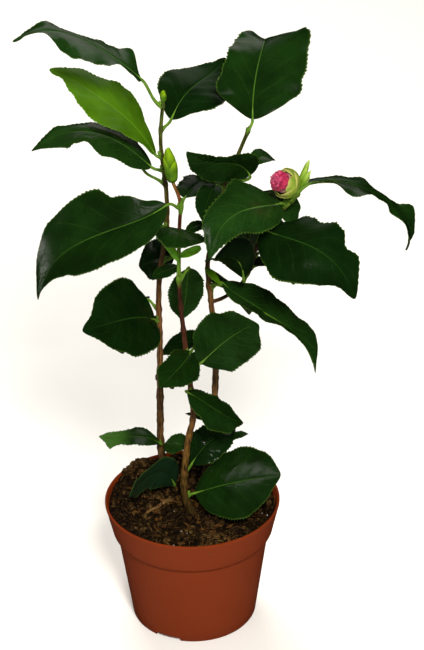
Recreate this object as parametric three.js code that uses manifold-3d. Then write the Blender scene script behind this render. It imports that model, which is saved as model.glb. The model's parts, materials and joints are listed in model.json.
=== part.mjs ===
// Japanese camellia in a 13 cm nursery pot, as a set of separately named solids.
// Units are millimetres, +Z is up, the front of the plant faces -Y and the origin
// is the centre of the pot's flat underside.
//
// The plant is three upright stems rising from one clump, a side branch that carries
// the flower bud, and leaves that each sit on a stalk 0.3 mm clear of their stem.

import * as THREE from "three";
import { mergeVertices } from "three/addons/utils/BufferGeometryUtils.js";
import Module from "manifold-3d";

const wasm = await Module();
wasm.setup();

// Pot
const POT_HEIGHT = 99;
const POT_RIM_RADIUS = 65;
const POT_COLLAR_FOOT_RADIUS = 60;
const POT_COLLAR_FOOT_HEIGHT = 75;
const POT_WALL_TOP_RADIUS = 56.4;
const POT_WALL_TOP_HEIGHT = 70;
const POT_FOOT_RADIUS = 47;
const POT_WALL = 1.8;
const POT_FLOOR = 5;
const POT_SIDES = 48;
const NOTCH_COUNT = 3;
const NOTCH_FIRST_AZIMUTH = -116;
const NOTCH_WIDTH = 20;
const NOTCH_HEIGHT = 3.4;
const NOTCH_DEPTH = 5;

// Compost
const SOIL_LEVEL = 94;
const SOIL_SIDES = 32;

// Fit and fineness
const GAP = 0.3;
const STEM_SIDES = 8;
const STEM_STEPS = 3;
const STALK_RADIUS = 1.15;
const STALK_STEPS = 3;
const BLADE_STEPS = 10;
const SMALL_BLADE_STEPS = 7;
const SMALL_LEAF_LENGTH = 40;
const LEAF_THICKNESS_SHARE = 0.013;
const LEAF_THICKNESS_LEAST = 0.8;

// Colours
const TERRACOTTA = 0x9c4a2c;
const PEAT = 0x35241a;
const BARK = 0x86663c;
const GREEN_STEM = 0x6f8a30;
const LEAF_GREEN = 0x1d4a17;
const YOUNG_GREEN = 0x4f8f1d;
const BUD_GREEN = 0x9fc24a;
const PETAL_PINK = 0xc93a6c;

// Stems: foot radius, tip radius, and the bends they rise through [x, y, z].
const STEMS = {
  stem_left: {
    foot: 2.9,
    tip: 1.2,
    bends: [[-18, 18, 94], [-22.5, 17, 130], [-22, 16, 174], [-21, 15, 225], [-20.4, 14, 271],
      [-13, 13, 327], [-16.5, 12, 378], [-14, 11, 410]],
  },
  stem_middle: {
    foot: 2.6,
    tip: 1.15,
    bends: [[-1.6, -11.5, 94], [-6.2, -10.5, 115], [-2.3, -9, 154], [2, -8, 177], [-2.3, -7, 227],
      [-6, -6, 276], [-5, -5, 323], [-3.8, -5, 342], [-8.9, -5, 358]],
  },
  stem_right: {
    foot: 2.8,
    tip: 1.2,
    bends: [[10, 30, 94], [15, 28, 131], [19.5, 24.5, 205], [15, 20, 266], [15, 17.8, 290],
      [26.3, 14.5, 342], [44.2, 11, 390]],
  },
  branch_bud: {
    from: "stem_right",
    foot: 1.5,
    tip: 1.1,
    bends: [[17, 21.5, 251], [26, 32, 249], [38, 33.5, 258], [45.5, 24, 279], [49, 10, 301],
      [59, 3, 324], [75.6, -1, 343.5]],
  },
};
const ROOT_FLARE = 0.35;
const ROOT_FLARE_HEIGHT = 7;

// Leaves. Each row: name, the stem that carries it, blade foot [x, y, z], blade tip
// [x, y, z], blade width, arch at one third and two thirds (share of length, up),
// sway at one third and two thirds (share of length, sideways), roll and twist of the
// blade about its midrib in degrees, fold of each half in degrees, curl of the margins
// and the place of the widest point along the blade.
const LEAVES = [
  ["leaf_01", "stem_left", [-30, 9, 426], [-109, -26, 464], 45, 0.15, 0.23, 0.02, 0.26, 11, -15, 7, 0.17, 0.46],
  ["leaf_02", "stem_left", [-20, 10, 371], [-90, 24, 429], 49, 0.09, 0.1, 0.07, 0.03, 5, 21, 12, 0.09, 0.47],
  ["leaf_03", "stem_left", [-23, 8, 363], [-103, -5, 382], 40, 0.22, 0.32, 0.08, 0.13, 11, -17, 6, 0.19, 0.43],
  ["leaf_04", "stem_left", [-9, 19, 393], [30, 85, 412], 42, 0.21, -0.09, 0.01, -0.04, -20, 10, 7, 0.15, 0.48],
  ["leaf_05", "stem_right", [46, 15, 397], [60, 98, 425], 62, 0.18, 0.51, -0.04, 0.13, 9, -4, 3, 0.22, 0.43],
  ["leaf_06", "stem_right", [44, 9, 355], [1, -24, 388], 33, 0.19, -0.12, -0.03, -0.11, 125, 28, 14, 0.03, 0.45],
  ["leaf_07", "branch_bud", [84, -5, 352], [152, 26, 286], 48, 0.21, 0.48, -0.02, 0.09, 5, -3, 8, 0.16, 0.45],
  ["leaf_08", "stem_middle", [-7, 4, 290], [-25, -8, 287], 11, 0.06, -0.02, -0.02, -0.05, 18, -1, 7, 0.17, 0.46],
  ["leaf_09", "branch_bud", [64, -5, 340], [15, -57, 325], 36, 0.15, 0.39, -0.03, 0.1, 33, 1, 5, 0.17, 0.41],
  ["leaf_10", "branch_bud", [52, -4, 321], [111, -62, 295], 50, 0.14, 0.36, 0.11, -0.02, -31, -4, 0, 0.29, 0.42],
  ["leaf_11", "branch_bud", [39, 3, 279], [18, -40, 316], 31, 0.24, 0.12, -0.05, 0.06, -40, -25, 22, -0.09, 0.48],
  ["leaf_12", "stem_right", [25, 18, 268], [89, -16, 212], 46, -0.01, 0.25, 0.01, -0.1, 15, 20, 15, 0.02, 0.44],
  ["leaf_13", "stem_right", [13, 13, 318], [-1, 2, 316], 9, 0.1, 0.06, -0.01, -0.02, 19, -1, 9, 0.13, 0.46],
  ["leaf_14", "stem_middle", [8, -12, 220], [47, -53, 273], 44, 0.04, 0.08, -0.03, -0.04, 70, -6, 9, 0.11, 0.46],
  ["leaf_15", "stem_left", [-24, 10, 244], [-72, -52, 270], 53, 0.09, 0.08, -0.02, -0.1, 54, 8, 11, 0.02, 0.46],
  ["leaf_16", "stem_middle", [-13, -10, 343], [-104, -14, 274], 62, 0.03, 0.27, -0.07, 0.13, 27, -32, 13, 0.03, 0.5],
  ["leaf_17", "stem_left", [-17, -4, 324], [11, -44, 331], 25, 0.06, -0.03, 0.05, 0.02, 1, -16, 1, 0.26, 0.46],
  ["leaf_18", "stem_left", [-9, 13, 293], [-34, 39, 278], 21, 0.06, 0, 0.01, -0.02, 73, 1, 8, 0.12, 0.47],
  ["leaf_19", "stem_middle", [1, 3, 288], [-5, 20, 238], 25, 0.03, 0, 0.01, 0.03, -7, -1, 9, 0.15, 0.47],
  ["leaf_20", "stem_middle", [6, 5, 229], [-21, 30, 204], 22, 0.02, 0.2, 0.03, 0.03, 31, -7, 8, 0.15, 0.45],
  ["leaf_21", "stem_middle", [1, -13, 230], [-21, -58, 228], 26, 0.04, 0.03, -0.09, -0.05, 26, -5, 8, 0.13, 0.46],
  ["leaf_22", "stem_middle", [-2, -18, 200], [38, -12, 170], 28, 0.04, -0.06, 0.06, 0.11, -28, -7, 2, 0.25, 0.48],
  ["leaf_23", "stem_middle", [0, -5, 131], [33, 15, 148], 29, 0.24, 0.27, 0.05, 0.07, -22, 4, 5, 0.15, 0.46],
  ["leaf_24", "stem_middle", [2, -12, 110], [63, -50, 149], 52, 0.02, 0.01, -0.02, -0.05, -52, 0, 3, 0.23, 0.48],
  ["leaf_25", "stem_left", [-13, 5, 107], [-46, -35, 123], 28, 0.38, 0.27, 0.02, 0, 105, 0, 9, 0.12, 0.45],
  ["leaf_26", "stem_left", [-23, 7, 142], [-68, 9, 148], 23, 0.2, 0, 0, -0.05, 2, 3, 8, 0.15, 0.46],
  ["leaf_27", "stem_middle", [-2, -2, 147], [-19, 12, 140], 12, 0.03, 0.06, -0.05, -0.04, 32, 0, 10, 0.11, 0.46],
  ["leaf_28", "stem_middle", [-1, 1, 343], [16, 39, 340], 22, 0.05, 0.12, -0.03, 0, -7, -2, 11, 0.1, 0.46],
  ["leaf_29", "stem_right", [21, 12, 347], [11, -15, 332], 17, 0.2, 0.17, 0.02, 0, 6, -9, 15, 0.04, 0.45],
  ["leaf_30", "stem_right", [45, 12, 361], [62, 35, 355], 14, 0.24, 0.18, 0.01, -0.01, -23, -1, 13, 0.07, 0.47],
  ["leaf_31", "branch_bud", [68, 6, 335], [80, 27, 323], 13, -0.08, 0.05, 0.02, 0, -56, 9, 7, 0.16, 0.45],
  ["leaf_32", "stem_right", [23, 22, 133], [43, 22, 139], 10, 0.11, 0.12, 0, 0, -3, -1, 9, 0.14, 0.46],
  ["leaf_33", "stem_right", [23, 10, 272], [12, 13, 283], 8, 0.04, 0.06, -0.02, -0.02, 3, 1, 7, 0.17, 0.46],
  ["leaf_34", "stem_right", [16, 39, 192], [-13, 93, 137], 44, 0.18, 0.27, 0, -0.09, 11, -1, 9, 0.16, 0.46],
  ["leaf_35", "branch_bud", [51, 22, 306], [42, 83, 249], 45, 0.16, 0.29, 0, 0.06, 5, -6, 11, 0.12, 0.46],
  ["leaf_36", "stem_right", [19, 34, 259], [46, 90, 203], 41, 0.18, 0.17, 0, -0.05, -19, 2, 10, 0.15, 0.46],
  ["leaf_37", "stem_right", [29, 25, 351], [21, 87, 297], 43, 0.17, 0.26, 0, 0.09, -9, -12, 13, 0.14, 0.46],
  ["leaf_38", "stem_left", [-20, 23, 325], [-58, 81, 283], 44, 0.13, 0.2, 0, 0.04, -14, -3, 9, 0.17, 0.46],
  ["leaf_39", "stem_left", [-30, 21, 255], [-66, 57, 209], 34, 0.12, 0.14, 0, -0.05, -5, 10, 5, 0.08, 0.46],
  ["leaf_40", "branch_bud", [54, 22, 292], [108, 57, 246], 42, 0.19, 0.16, 0, -0.01, 14, -8, 6, 0.13, 0.46],
  ["leaf_41", "stem_left", [-24, 19, 350], [-74, 68, 394], 44, 0.2, 0.22, 0, 0.03, 24, -8, 8, 0.16, 0.46],
  ["leaf_42", "stem_right", [20, 34, 220], [34, 79, 176], 32, 0.16, 0.27, 0, -0.03, -16, 5, 8, 0.12, 0.46],
  ["leaf_43", "branch_bud", [59, 13, 312], [116, 30, 268], 39, 0.16, 0.28, 0, 0.07, 13, 12, 4, 0.08, 0.46],
  ["leaf_44", "branch_bud", [48, 28, 276], [81, 82, 221], 41, 0.16, 0.26, 0, -0.02, 6, 6, 10, 0.14, 0.46],
  ["leaf_45", "stem_right", [14, 38, 141], [10, 85, 117], 27, 0.19, 0.17, 0, -0.09, 16, 3, 13, 0.16, 0.46],
  ["leaf_46", "branch_bud", [68, 9, 344], [49, 69, 290], 42, 0.11, 0.22, 0, -0.02, 3, 3, 6, 0.12, 0.46],
  ["leaf_47", "stem_left", [-24, 23, 235], [-50, 71, 182], 36, 0.12, 0.16, 0, -0.06, 8, -14, 9, 0.14, 0.46],
];
const YOUNG_LEAVES = ["leaf_02", "leaf_27", "leaf_33"];

// Buds
const FLOWER_CENTRE = [67.2, -5, 355.2];
const FLOWER_AXIS = [-0.8, -0.4, 0.45];
const FLOWER_RADIUS = 9.6;
const FLOWER_STRETCH = 1.08;
const SCALE_COUNT = 5;
const LEAF_BUD_FOOT = [75.6, -2, 346];
const LEAF_BUD_TIPS = [[83.4, -1, 369.7], [84.2, -7, 364.5]];
const LEAF_BUD_RADIUS = 2.1;
const GROWTH_BUD_LENGTH = 24;
const GROWTH_BUD_RADIUS = 4.9;
const TIP_BUD_LENGTH = 7;
const TIP_BUD_RADIUS = 1.9;

const group = new THREE.Group();
group.name = "potted_camellia";

const vec = (a) => new THREE.Vector3(a[0], a[1], a[2]);
const rad = THREE.MathUtils.degToRad;

// A part of the vector that is square to a direction, made unit length.
function squareTo(v, dir) {
  return v.clone().addScaledVector(dir, -v.dot(dir)).normalize();
}

// Adds one named solid to the plant.
function place(name, geometry, colour, roughness) {
  const material = new THREE.MeshStandardMaterial({ color: colour, roughness, metalness: 0 });
  material.name = name + "_finish";
  const mesh = new THREE.Mesh(geometry, material);
  mesh.name = name;
  group.add(mesh);
  return mesh;
}

// Closed skin through rings of equal point count, with flat ends.
function loft(rings) {
  const count = rings[0].length;
  const points = [];
  const faces = [];
  for (const ring of rings) for (const p of ring) points.push(p.x, p.y, p.z);
  for (let i = 0; i + 1 < rings.length; i += 1) {
    for (let k = 0; k < count; k += 1) {
      const a = i * count + k;
      const b = i * count + ((k + 1) % count);
      faces.push(a, b, b + count, a, b + count, a + count);
    }
  }
  const last = (rings.length - 1) * count;
  for (let k = 1; k + 1 < count; k += 1) {
    faces.push(0, k + 1, k);
    faces.push(last, last + k, last + k + 1);
  }
  return outward(points, faces);
}

// Indexed geometry whose faces look outward.
function outward(points, faces) {
  let six = 0;
  for (let i = 0; i < faces.length; i += 3) {
    const [a, b, c] = [faces[i] * 3, faces[i + 1] * 3, faces[i + 2] * 3];
    six += points[a] * (points[b + 1] * points[c + 2] - points[b + 2] * points[c + 1])
      - points[a + 1] * (points[b] * points[c + 2] - points[b + 2] * points[c])
      + points[a + 2] * (points[b] * points[c + 1] - points[b + 1] * points[c]);
  }
  if (six < 0) {
    for (let i = 0; i < faces.length; i += 3) {
      [faces[i + 1], faces[i + 2]] = [faces[i + 2], faces[i + 1]];
    }
  }
  const geometry = new THREE.BufferGeometry();
  geometry.setAttribute("position", new THREE.Float32BufferAttribute(points, 3));
  geometry.setIndex(faces);
  geometry.computeVertexNormals();
  return geometry;
}

// Solid for joining and cutting.
function toSolid(source) {
  const bare = source.clone();
  for (const name of Object.keys(bare.attributes)) {
    if (name !== "position") bare.deleteAttribute(name);
  }
  const geometry = mergeVertices(bare, 1e-4);
  const mesh = new wasm.Mesh({
    numProp: 3,
    vertProperties: Float32Array.from(geometry.attributes.position.array),
    triVerts: Uint32Array.from(geometry.index.array),
  });
  mesh.merge();
  return new wasm.Manifold(mesh);
}

function fromSolid(solid) {
  const mesh = solid.getMesh();
  return outward(Array.from(mesh.vertProperties), Array.from(mesh.triVerts));
}

// Smooth curve through bends, as points with a running share of its length.
function smoothPath(bends, steps) {
  const p = bends.map(vec);
  const ext = [
    p[0].clone().multiplyScalar(2).sub(p[1]),
    ...p,
    p[p.length - 1].clone().multiplyScalar(2).sub(p[p.length - 2]),
  ];
  const out = [];
  for (let i = 1; i + 2 < ext.length; i += 1) {
    for (let k = 0; k < steps; k += 1) {
      const t = k / steps;
      const [a, b, c, d] = [ext[i - 1], ext[i], ext[i + 1], ext[i + 2]];
      const q = new THREE.Vector3();
      for (const axis of ["x", "y", "z"]) {
        q[axis] = 0.5 * (2 * b[axis] + (c[axis] - a[axis]) * t
          + (2 * a[axis] - 5 * b[axis] + 4 * c[axis] - d[axis]) * t * t
          + (-a[axis] + 3 * b[axis] - 3 * c[axis] + d[axis]) * t * t * t);
      }
      out.push(q);
    }
  }
  out.push(p[p.length - 1].clone());
  return out;
}

// Stem axis with its radius at every point.
function stemAxis(spec) {
  const path = smoothPath(spec.bends, STEM_STEPS);
  const length = [0];
  for (let i = 1; i < path.length; i += 1) length.push(length[i - 1] + path[i].distanceTo(path[i - 1]));
  const total = length[length.length - 1];
  return path.map((point, i) => {
    const flare = spec.from ? 0 : ROOT_FLARE * Math.exp(-Math.max(0, point.z - SOIL_LEVEL) / ROOT_FLARE_HEIGHT);
    return { point, radius: (spec.foot + (spec.tip - spec.foot) * (length[i] / total) ** 0.85) * (1 + flare) };
  });
}

// Point and radius of a stem at a height.
function stemAt(axis, height) {
  let i = 0;
  while (i + 2 < axis.length && axis[i + 1].point.z < height) i += 1;
  const [a, b] = [axis[i], axis[i + 1]];
  const t = THREE.MathUtils.clamp((height - a.point.z) / (b.point.z - a.point.z), 0, 1);
  return {
    point: a.point.clone().lerp(b.point, t),
    radius: a.radius + (b.radius - a.radius) * t,
    dir: b.point.clone().sub(a.point).normalize(),
  };
}

// Tapered round limb; a stem that rises from the soil is cut flat there and flares.
function limb(axis, fromSoil) {
  const rings = [];
  let side = new THREE.Vector3(1, 0, 0);
  axis.forEach((node, i) => {
    const next = axis[Math.min(i + 1, axis.length - 1)].point;
    const back = axis[Math.max(i - 1, 0)].point;
    const dir = fromSoil && i === 0 ? new THREE.Vector3(0, 0, 1) : next.clone().sub(back).normalize();
    side = squareTo(side, dir);
    const up = dir.clone().cross(side);
    const centre = node.point.clone();
    const radius = node.radius;
    if (fromSoil && i === 0) centre.z = SOIL_LEVEL + GAP;
    const ring = [];
    for (let k = 0; k < STEM_SIDES; k += 1) {
      const a = (k / STEM_SIDES) * 2 * Math.PI;
      ring.push(centre.clone().addScaledVector(side, radius * Math.cos(a)).addScaledVector(up, radius * Math.sin(a)));
    }
    rings.push(ring);
  });
  return loft(rings);
}

// Half width of a blade along its length, as a share of the greatest half width.
function bladeShape(t, widest) {
  const b = 0.72;
  const a = (b * widest) / (1 - widest);
  const peak = widest ** a * (1 - widest) ** b;
  const s = THREE.MathUtils.smoothstep(t, 0.78, 0.95);
  return ((t ** a * (1 - t) ** b) / peak) * (1 - 0.3 * s);
}

// Midrib of a blade: a cubic curve bowed up and sideways from its chord.
function midrib(row) {
  const [foot, tip] = [vec(row.foot), vec(row.tip)];
  const chord = tip.clone().sub(foot);
  const length = chord.length();
  chord.divideScalar(length);
  const side = chord.clone().cross(new THREE.Vector3(0, 0, 1)).normalize();
  const up = side.clone().cross(chord);
  const control = (share, arch, sway) => foot.clone().addScaledVector(chord, share * length)
    .addScaledVector(up, arch * length).addScaledVector(side, sway * length);
  const curve = new THREE.CubicBezierCurve3(
    foot, control(1 / 3, row.arch1, row.sway1), control(2 / 3, row.arch2, row.sway2), tip);
  return { curve, side, length };
}

// Rings of a blade from its foot to its tip: eight points, sharp at the margins.
function bladeRings(row) {
  const { curve, side, length } = midrib(row);
  const steps = length < SMALL_LEAF_LENGTH ? SMALL_BLADE_STEPS : BLADE_STEPS;
  const thick = Math.max(LEAF_THICKNESS_LEAST, LEAF_THICKNESS_SHARE * length);
  const fold = rad(row.fold);
  const rings = [];
  let footSide = null;
  for (let i = 0; i <= steps; i += 1) {
    const t = 0.02 + 0.97 * (1 - Math.cos((Math.PI * i) / steps)) / 2;
    const dir = new THREE.Vector3();
    const [p0, p1, p2, p3] = [curve.v0, curve.v1, curve.v2, curve.v3];
    dir.addScaledVector(p1.clone().sub(p0), (1 - t) ** 2)
      .addScaledVector(p2.clone().sub(p1), 2 * (1 - t) * t)
      .addScaledVector(p3.clone().sub(p2), t * t).normalize();
    const flat = squareTo(side, dir);
    const up = flat.clone().cross(dir);
    const turn = rad(row.roll + row.twist * (t - 0.5));
    const across = flat.clone().multiplyScalar(Math.cos(turn)).addScaledVector(up, Math.sin(turn));
    const normal = up.clone().multiplyScalar(Math.cos(turn)).addScaledVector(flat, -Math.sin(turn));
    if (!footSide) footSide = across.clone();
    const half = (row.width / 2) * bladeShape(t, row.widest);
    const centre = curve.getPoint(t);
    const point = (u, face) => {
      const lift = half * (Math.abs(u) * Math.sin(fold) - row.curl * u * u);
      const skin = face * (thick / 2) * (1 - 0.6 * u * u);
      return centre.clone().addScaledVector(across, half * u * Math.cos(fold)).addScaledVector(normal, lift + skin);
    };
    rings.push([point(-1, 0), point(-0.5, 1), point(0, 1), point(0.5, 1),
      point(1, 0), point(0.5, -1), point(0, -1), point(-0.5, -1)]);
  }
  return { rings, curve, footSide };
}

// Rings of the stalk, from 0.3 mm off the stem to the blade's foot.
function stalkRings(row, blade) {
  const axis = axes[row.stem];
  const foot = vec(row.foot);
  const top = axis[axis.length - 1].point.z;
  const near = stemAt(axis, foot.z);
  const reach = Math.hypot(foot.x - near.point.x, foot.y - near.point.y);
  const height = Math.min(foot.z - Math.min(0.45 * reach, 8), top - 4);
  const node = stemAt(axis, height);
  const out = squareTo(foot.clone().sub(node.point), node.dir);
  const start = node.point.clone().addScaledVector(out, node.radius + GAP);
  const end = blade.curve.getPoint(0.005);
  const pull = start.distanceTo(end) * 0.4;
  const dir = blade.curve.v1.clone().sub(blade.curve.v0).normalize();
  const stalk = new THREE.CubicBezierCurve3(
    start, start.clone().addScaledVector(out, pull), end.clone().addScaledVector(dir, -pull), end);
  const rings = [];
  let side = blade.footSide.clone();
  for (let i = STALK_STEPS - 1; i >= 0; i -= 1) {
    const t = i / STALK_STEPS;
    const along = i === 0 ? out.clone() : stalk.getTangent(t);
    side = squareTo(side, along);
    const up = side.clone().cross(along);
    const radius = STALK_RADIUS * (row.length < SMALL_LEAF_LENGTH ? 0.7 : 1);
    const centre = stalk.getPoint(t);
    const ring = [];
    for (let k = 0; k < 8; k += 1) {
      const a = Math.PI - (k * Math.PI) / 4;
      ring.push(centre.clone().addScaledVector(side, radius * Math.cos(a)).addScaledVector(up, radius * Math.sin(a)));
    }
    rings.unshift(ring);
  }
  return rings;
}

function leafSolid(row) {
  const blade = bladeRings(row);
  return loft([...stalkRings(row, blade), ...blade.rings]);
}

// Spindle: a bud that swells and closes to a point along an axis.
function spindle(foot, tip, radius, sides, steps, fullness, rounded) {
  const [a, b] = [vec(foot), vec(tip)];
  const dir = b.clone().sub(a).normalize();
  const side = squareTo(new THREE.Vector3(1, 0.2, 0.1), dir);
  const up = dir.clone().cross(side);
  const rings = [];
  for (let i = 0; i <= steps; i += 1) {
    const t = i / steps;
    const swell = Math.sin(Math.PI * (0.12 + 0.86 * t ** fullness)) ** rounded;
    const r = radius * Math.max(0.08, swell);
    const centre = a.clone().lerp(b, t);
    const ring = [];
    for (let k = 0; k < sides; k += 1) {
      const angle = (k / sides) * 2 * Math.PI;
      ring.push(centre.clone().addScaledVector(side, r * Math.cos(angle)).addScaledVector(up, r * Math.sin(angle)));
    }
    rings.push(ring);
  }
  return loft(rings);
}

// Pot
function potSolid() {
  const w = POT_WALL;
  const profile = [
    [0, 0], [POT_FOOT_RADIUS - 1, 0], [POT_FOOT_RADIUS, 1],
    [POT_WALL_TOP_RADIUS, POT_WALL_TOP_HEIGHT],
    [POT_COLLAR_FOOT_RADIUS - 0.8, POT_COLLAR_FOOT_HEIGHT - 1.4],
    [POT_COLLAR_FOOT_RADIUS, POT_COLLAR_FOOT_HEIGHT],
    [POT_RIM_RADIUS - 0.3, POT_HEIGHT - 2.5], [POT_RIM_RADIUS, POT_HEIGHT - 1],
    [POT_RIM_RADIUS - 0.4, POT_HEIGHT], [POT_RIM_RADIUS - w + 0.2, POT_HEIGHT],
    [POT_RIM_RADIUS - w - 0.2, POT_HEIGHT - 1],
    [POT_COLLAR_FOOT_RADIUS - w, POT_COLLAR_FOOT_HEIGHT + 0.5],
    [POT_WALL_TOP_RADIUS - w, POT_WALL_TOP_HEIGHT + 1.5],
    [POT_FOOT_RADIUS - w + 0.6, POT_FLOOR + 1.5], [POT_FOOT_RADIUS - w - 0.8, POT_FLOOR], [0, POT_FLOOR],
  ].map(([x, y]) => new THREE.Vector2(x, y));
  const shell = new THREE.LatheGeometry(profile, POT_SIDES);
  shell.rotateX(Math.PI / 2);
  let solid = toSolid(shell);
  for (let i = 0; i < NOTCH_COUNT; i += 1) {
    const angle = rad(NOTCH_FIRST_AZIMUTH + (360 / NOTCH_COUNT) * i);
    const cut = new THREE.BoxGeometry(NOTCH_DEPTH * 2, NOTCH_WIDTH, NOTCH_HEIGHT * 2);
    cut.translate(POT_FOOT_RADIUS, 0, 0);
    cut.rotateZ(angle);
    solid = solid.subtract(toSolid(cut));
  }
  return fromSolid(solid);
}

// Compost filling the pot up to just under its rim
function compostSolid() {
  const w = POT_WALL + GAP;
  const share = (SOIL_LEVEL - POT_COLLAR_FOOT_HEIGHT) / (POT_HEIGHT - POT_COLLAR_FOOT_HEIGHT);
  const edge = POT_COLLAR_FOOT_RADIUS + (POT_RIM_RADIUS - POT_COLLAR_FOOT_RADIUS) * share - w - 0.6;
  const profile = [
    [0, POT_FLOOR + GAP], [POT_FOOT_RADIUS - w - 1.1, POT_FLOOR + GAP],
    [POT_FOOT_RADIUS - w + 0.1, POT_FLOOR + 2.2],
    [POT_WALL_TOP_RADIUS - w - 0.3, POT_WALL_TOP_HEIGHT + 1.5],
    [POT_COLLAR_FOOT_RADIUS - w - 0.5, POT_COLLAR_FOOT_HEIGHT + 1],
    [edge, SOIL_LEVEL - 1.5], [edge - 1.5, SOIL_LEVEL], [0, SOIL_LEVEL],
  ].map(([x, y]) => new THREE.Vector2(x, y));
  const body = new THREE.LatheGeometry(profile, SOIL_SIDES);
  body.rotateX(Math.PI / 2);
  return fromSolid(toSolid(body));
}

// Flower bud: round body, overlapping scales round its foot, a short stalk to the
// branch tip, and two young leaf buds beside it, all fused.
function flowerSolid() {
  const dir = vec(FLOWER_AXIS).normalize();
  const centre = vec(FLOWER_CENTRE);
  const back = centre.clone().addScaledVector(dir, -FLOWER_RADIUS * FLOWER_STRETCH);
  const front = centre.clone().addScaledVector(dir, FLOWER_RADIUS * FLOWER_STRETCH);
  const body = new THREE.SphereGeometry(FLOWER_RADIUS, 16, 10);
  body.rotateX(Math.PI / 2);
  body.scale(1, 1, FLOWER_STRETCH);
  body.applyQuaternion(new THREE.Quaternion().setFromUnitVectors(new THREE.Vector3(0, 0, 1), dir));
  body.translate(centre.x, centre.y, centre.z);
  let solid = toSolid(body);
  const side = squareTo(new THREE.Vector3(0, 0, 1), dir);
  const up = dir.clone().cross(side);
  for (let i = 0; i < SCALE_COUNT; i += 1) {
    const angle = (i / SCALE_COUNT) * 2 * Math.PI + 0.4;
    const out = side.clone().multiplyScalar(Math.cos(angle)).addScaledVector(up, Math.sin(angle));
    const scale = new THREE.SphereGeometry(5.6, 8, 6);
    scale.scale(0.34, 1, 1.15);
    const tangent = dir.clone().cross(out);
    const basis = new THREE.Matrix4().makeBasis(out, tangent, dir);
    scale.applyMatrix4(basis);
    const seat = centre.clone().addScaledVector(out, FLOWER_RADIUS * 0.86).addScaledVector(dir, -2.6);
    scale.translate(seat.x, seat.y, seat.z);
    solid = solid.add(toSolid(scale));
  }
  const axis = axes.branch_bud;
  const tip = axis[axis.length - 1].point;
  const before = axis[axis.length - 2].point;
  const along = tip.clone().sub(before).normalize();
  const stub = tip.clone().addScaledVector(along, GAP);
  const stalk = limb([
    { point: stub, radius: 1.15 },
    { point: stub.clone().addScaledVector(along, 1.5), radius: 1.5 },
    { point: back.clone().lerp(centre, 0.35), radius: 2.2 },
  ], false);
  solid = solid.add(toSolid(stalk));
  for (const bud of LEAF_BUD_TIPS) {
    solid = solid.add(toSolid(spindle(LEAF_BUD_FOOT, bud, LEAF_BUD_RADIUS, 8, 7, 0.8, 1)));
  }
  return fromSolid(solid);
}

function budOn(axis, length, radius, sides, steps) {
  const tip = axis[axis.length - 1].point;
  const lean = tip.clone().sub(axis[axis.length - 2].point).normalize();
  const rise = new THREE.Vector3(lean.x * 0.3, lean.y * 0.3, 1).normalize();
  const foot = tip.clone().addScaledVector(lean, GAP + 0.4 * radius * lean.angleTo(rise));
  const top = foot.clone().addScaledVector(rise, length);
  return spindle(foot.toArray(), top.toArray(), radius, sides, steps, 0.85, 0.85);
}

const axes = {};
for (const [name, spec] of Object.entries(STEMS)) {
  const own = { ...spec, bends: spec.bends.map((b) => [...b]) };
  if (spec.from) {
    const node = stemAt(axes[spec.from], own.bends[0][2]);
    const towards = vec(own.bends[1]).sub(node.point).normalize();
    own.bends[0] = node.point.clone().addScaledVector(towards, node.radius + GAP + 0.5).toArray();
  }
  axes[name] = stemAxis(own);
}

place("pot", potSolid(), TERRACOTTA, 0.6);
place("compost", compostSolid(), PEAT, 1);
for (const [name, spec] of Object.entries(STEMS)) {
  place(name, limb(axes[name], !spec.from), spec.from ? GREEN_STEM : BARK, 0.8);
}
for (const [name, stem, foot, tip, width, arch1, arch2, sway1, sway2, roll, twist, fold, curl, widest] of LEAVES) {
  const length = vec(tip).distanceTo(vec(foot));
  const row = { stem, foot, tip, width, arch1, arch2, sway1, sway2, roll, twist, fold, curl, widest, length };
  place(name, leafSolid(row), YOUNG_LEAVES.includes(name) ? YOUNG_GREEN : LEAF_GREEN, 0.35);
}
place("flower_bud", flowerSolid(), PETAL_PINK, 0.6);
place("growth_bud", budOn(axes.stem_middle, GROWTH_BUD_LENGTH, GROWTH_BUD_RADIUS, 10, 8), BUD_GREEN, 0.5);
place("tip_bud", budOn(axes.stem_left, TIP_BUD_LENGTH, TIP_BUD_RADIUS, 8, 6), BUD_GREEN, 0.5);

export default group;
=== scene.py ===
"""Looks of a young camellia in a nursery pot: stems, glossy leaves, buds, compost and pot.

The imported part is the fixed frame. Shapes are worked out in millimetres, as a grower
would measure them, and turned to metres when a piece is finished.
"""

import json
import logging
import math
import random
from dataclasses import dataclass, field
from enum import Enum
from typing import Any, Callable, Mapping, Sequence

import bmesh
import bpy
from mathutils import Matrix, Vector, noise

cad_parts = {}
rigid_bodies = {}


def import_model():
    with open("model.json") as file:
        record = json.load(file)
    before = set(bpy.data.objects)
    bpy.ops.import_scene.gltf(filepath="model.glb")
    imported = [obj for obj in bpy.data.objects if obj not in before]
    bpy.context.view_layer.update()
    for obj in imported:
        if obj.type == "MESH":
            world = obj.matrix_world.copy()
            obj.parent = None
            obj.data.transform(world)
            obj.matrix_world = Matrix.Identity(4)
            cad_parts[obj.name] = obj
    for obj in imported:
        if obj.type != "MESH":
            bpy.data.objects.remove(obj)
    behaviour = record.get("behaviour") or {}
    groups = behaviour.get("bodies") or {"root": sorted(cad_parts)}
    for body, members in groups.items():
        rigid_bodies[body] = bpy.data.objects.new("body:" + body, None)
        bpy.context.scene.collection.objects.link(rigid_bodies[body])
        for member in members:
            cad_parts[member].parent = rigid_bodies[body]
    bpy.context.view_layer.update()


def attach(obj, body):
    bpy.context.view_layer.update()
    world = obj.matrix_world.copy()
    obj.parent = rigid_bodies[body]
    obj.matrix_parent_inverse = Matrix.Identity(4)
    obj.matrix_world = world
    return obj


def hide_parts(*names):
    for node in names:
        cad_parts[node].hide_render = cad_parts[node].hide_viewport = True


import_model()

LOG = logging.getLogger("camellia")
MM = 0.001
BODY = "root"
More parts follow.
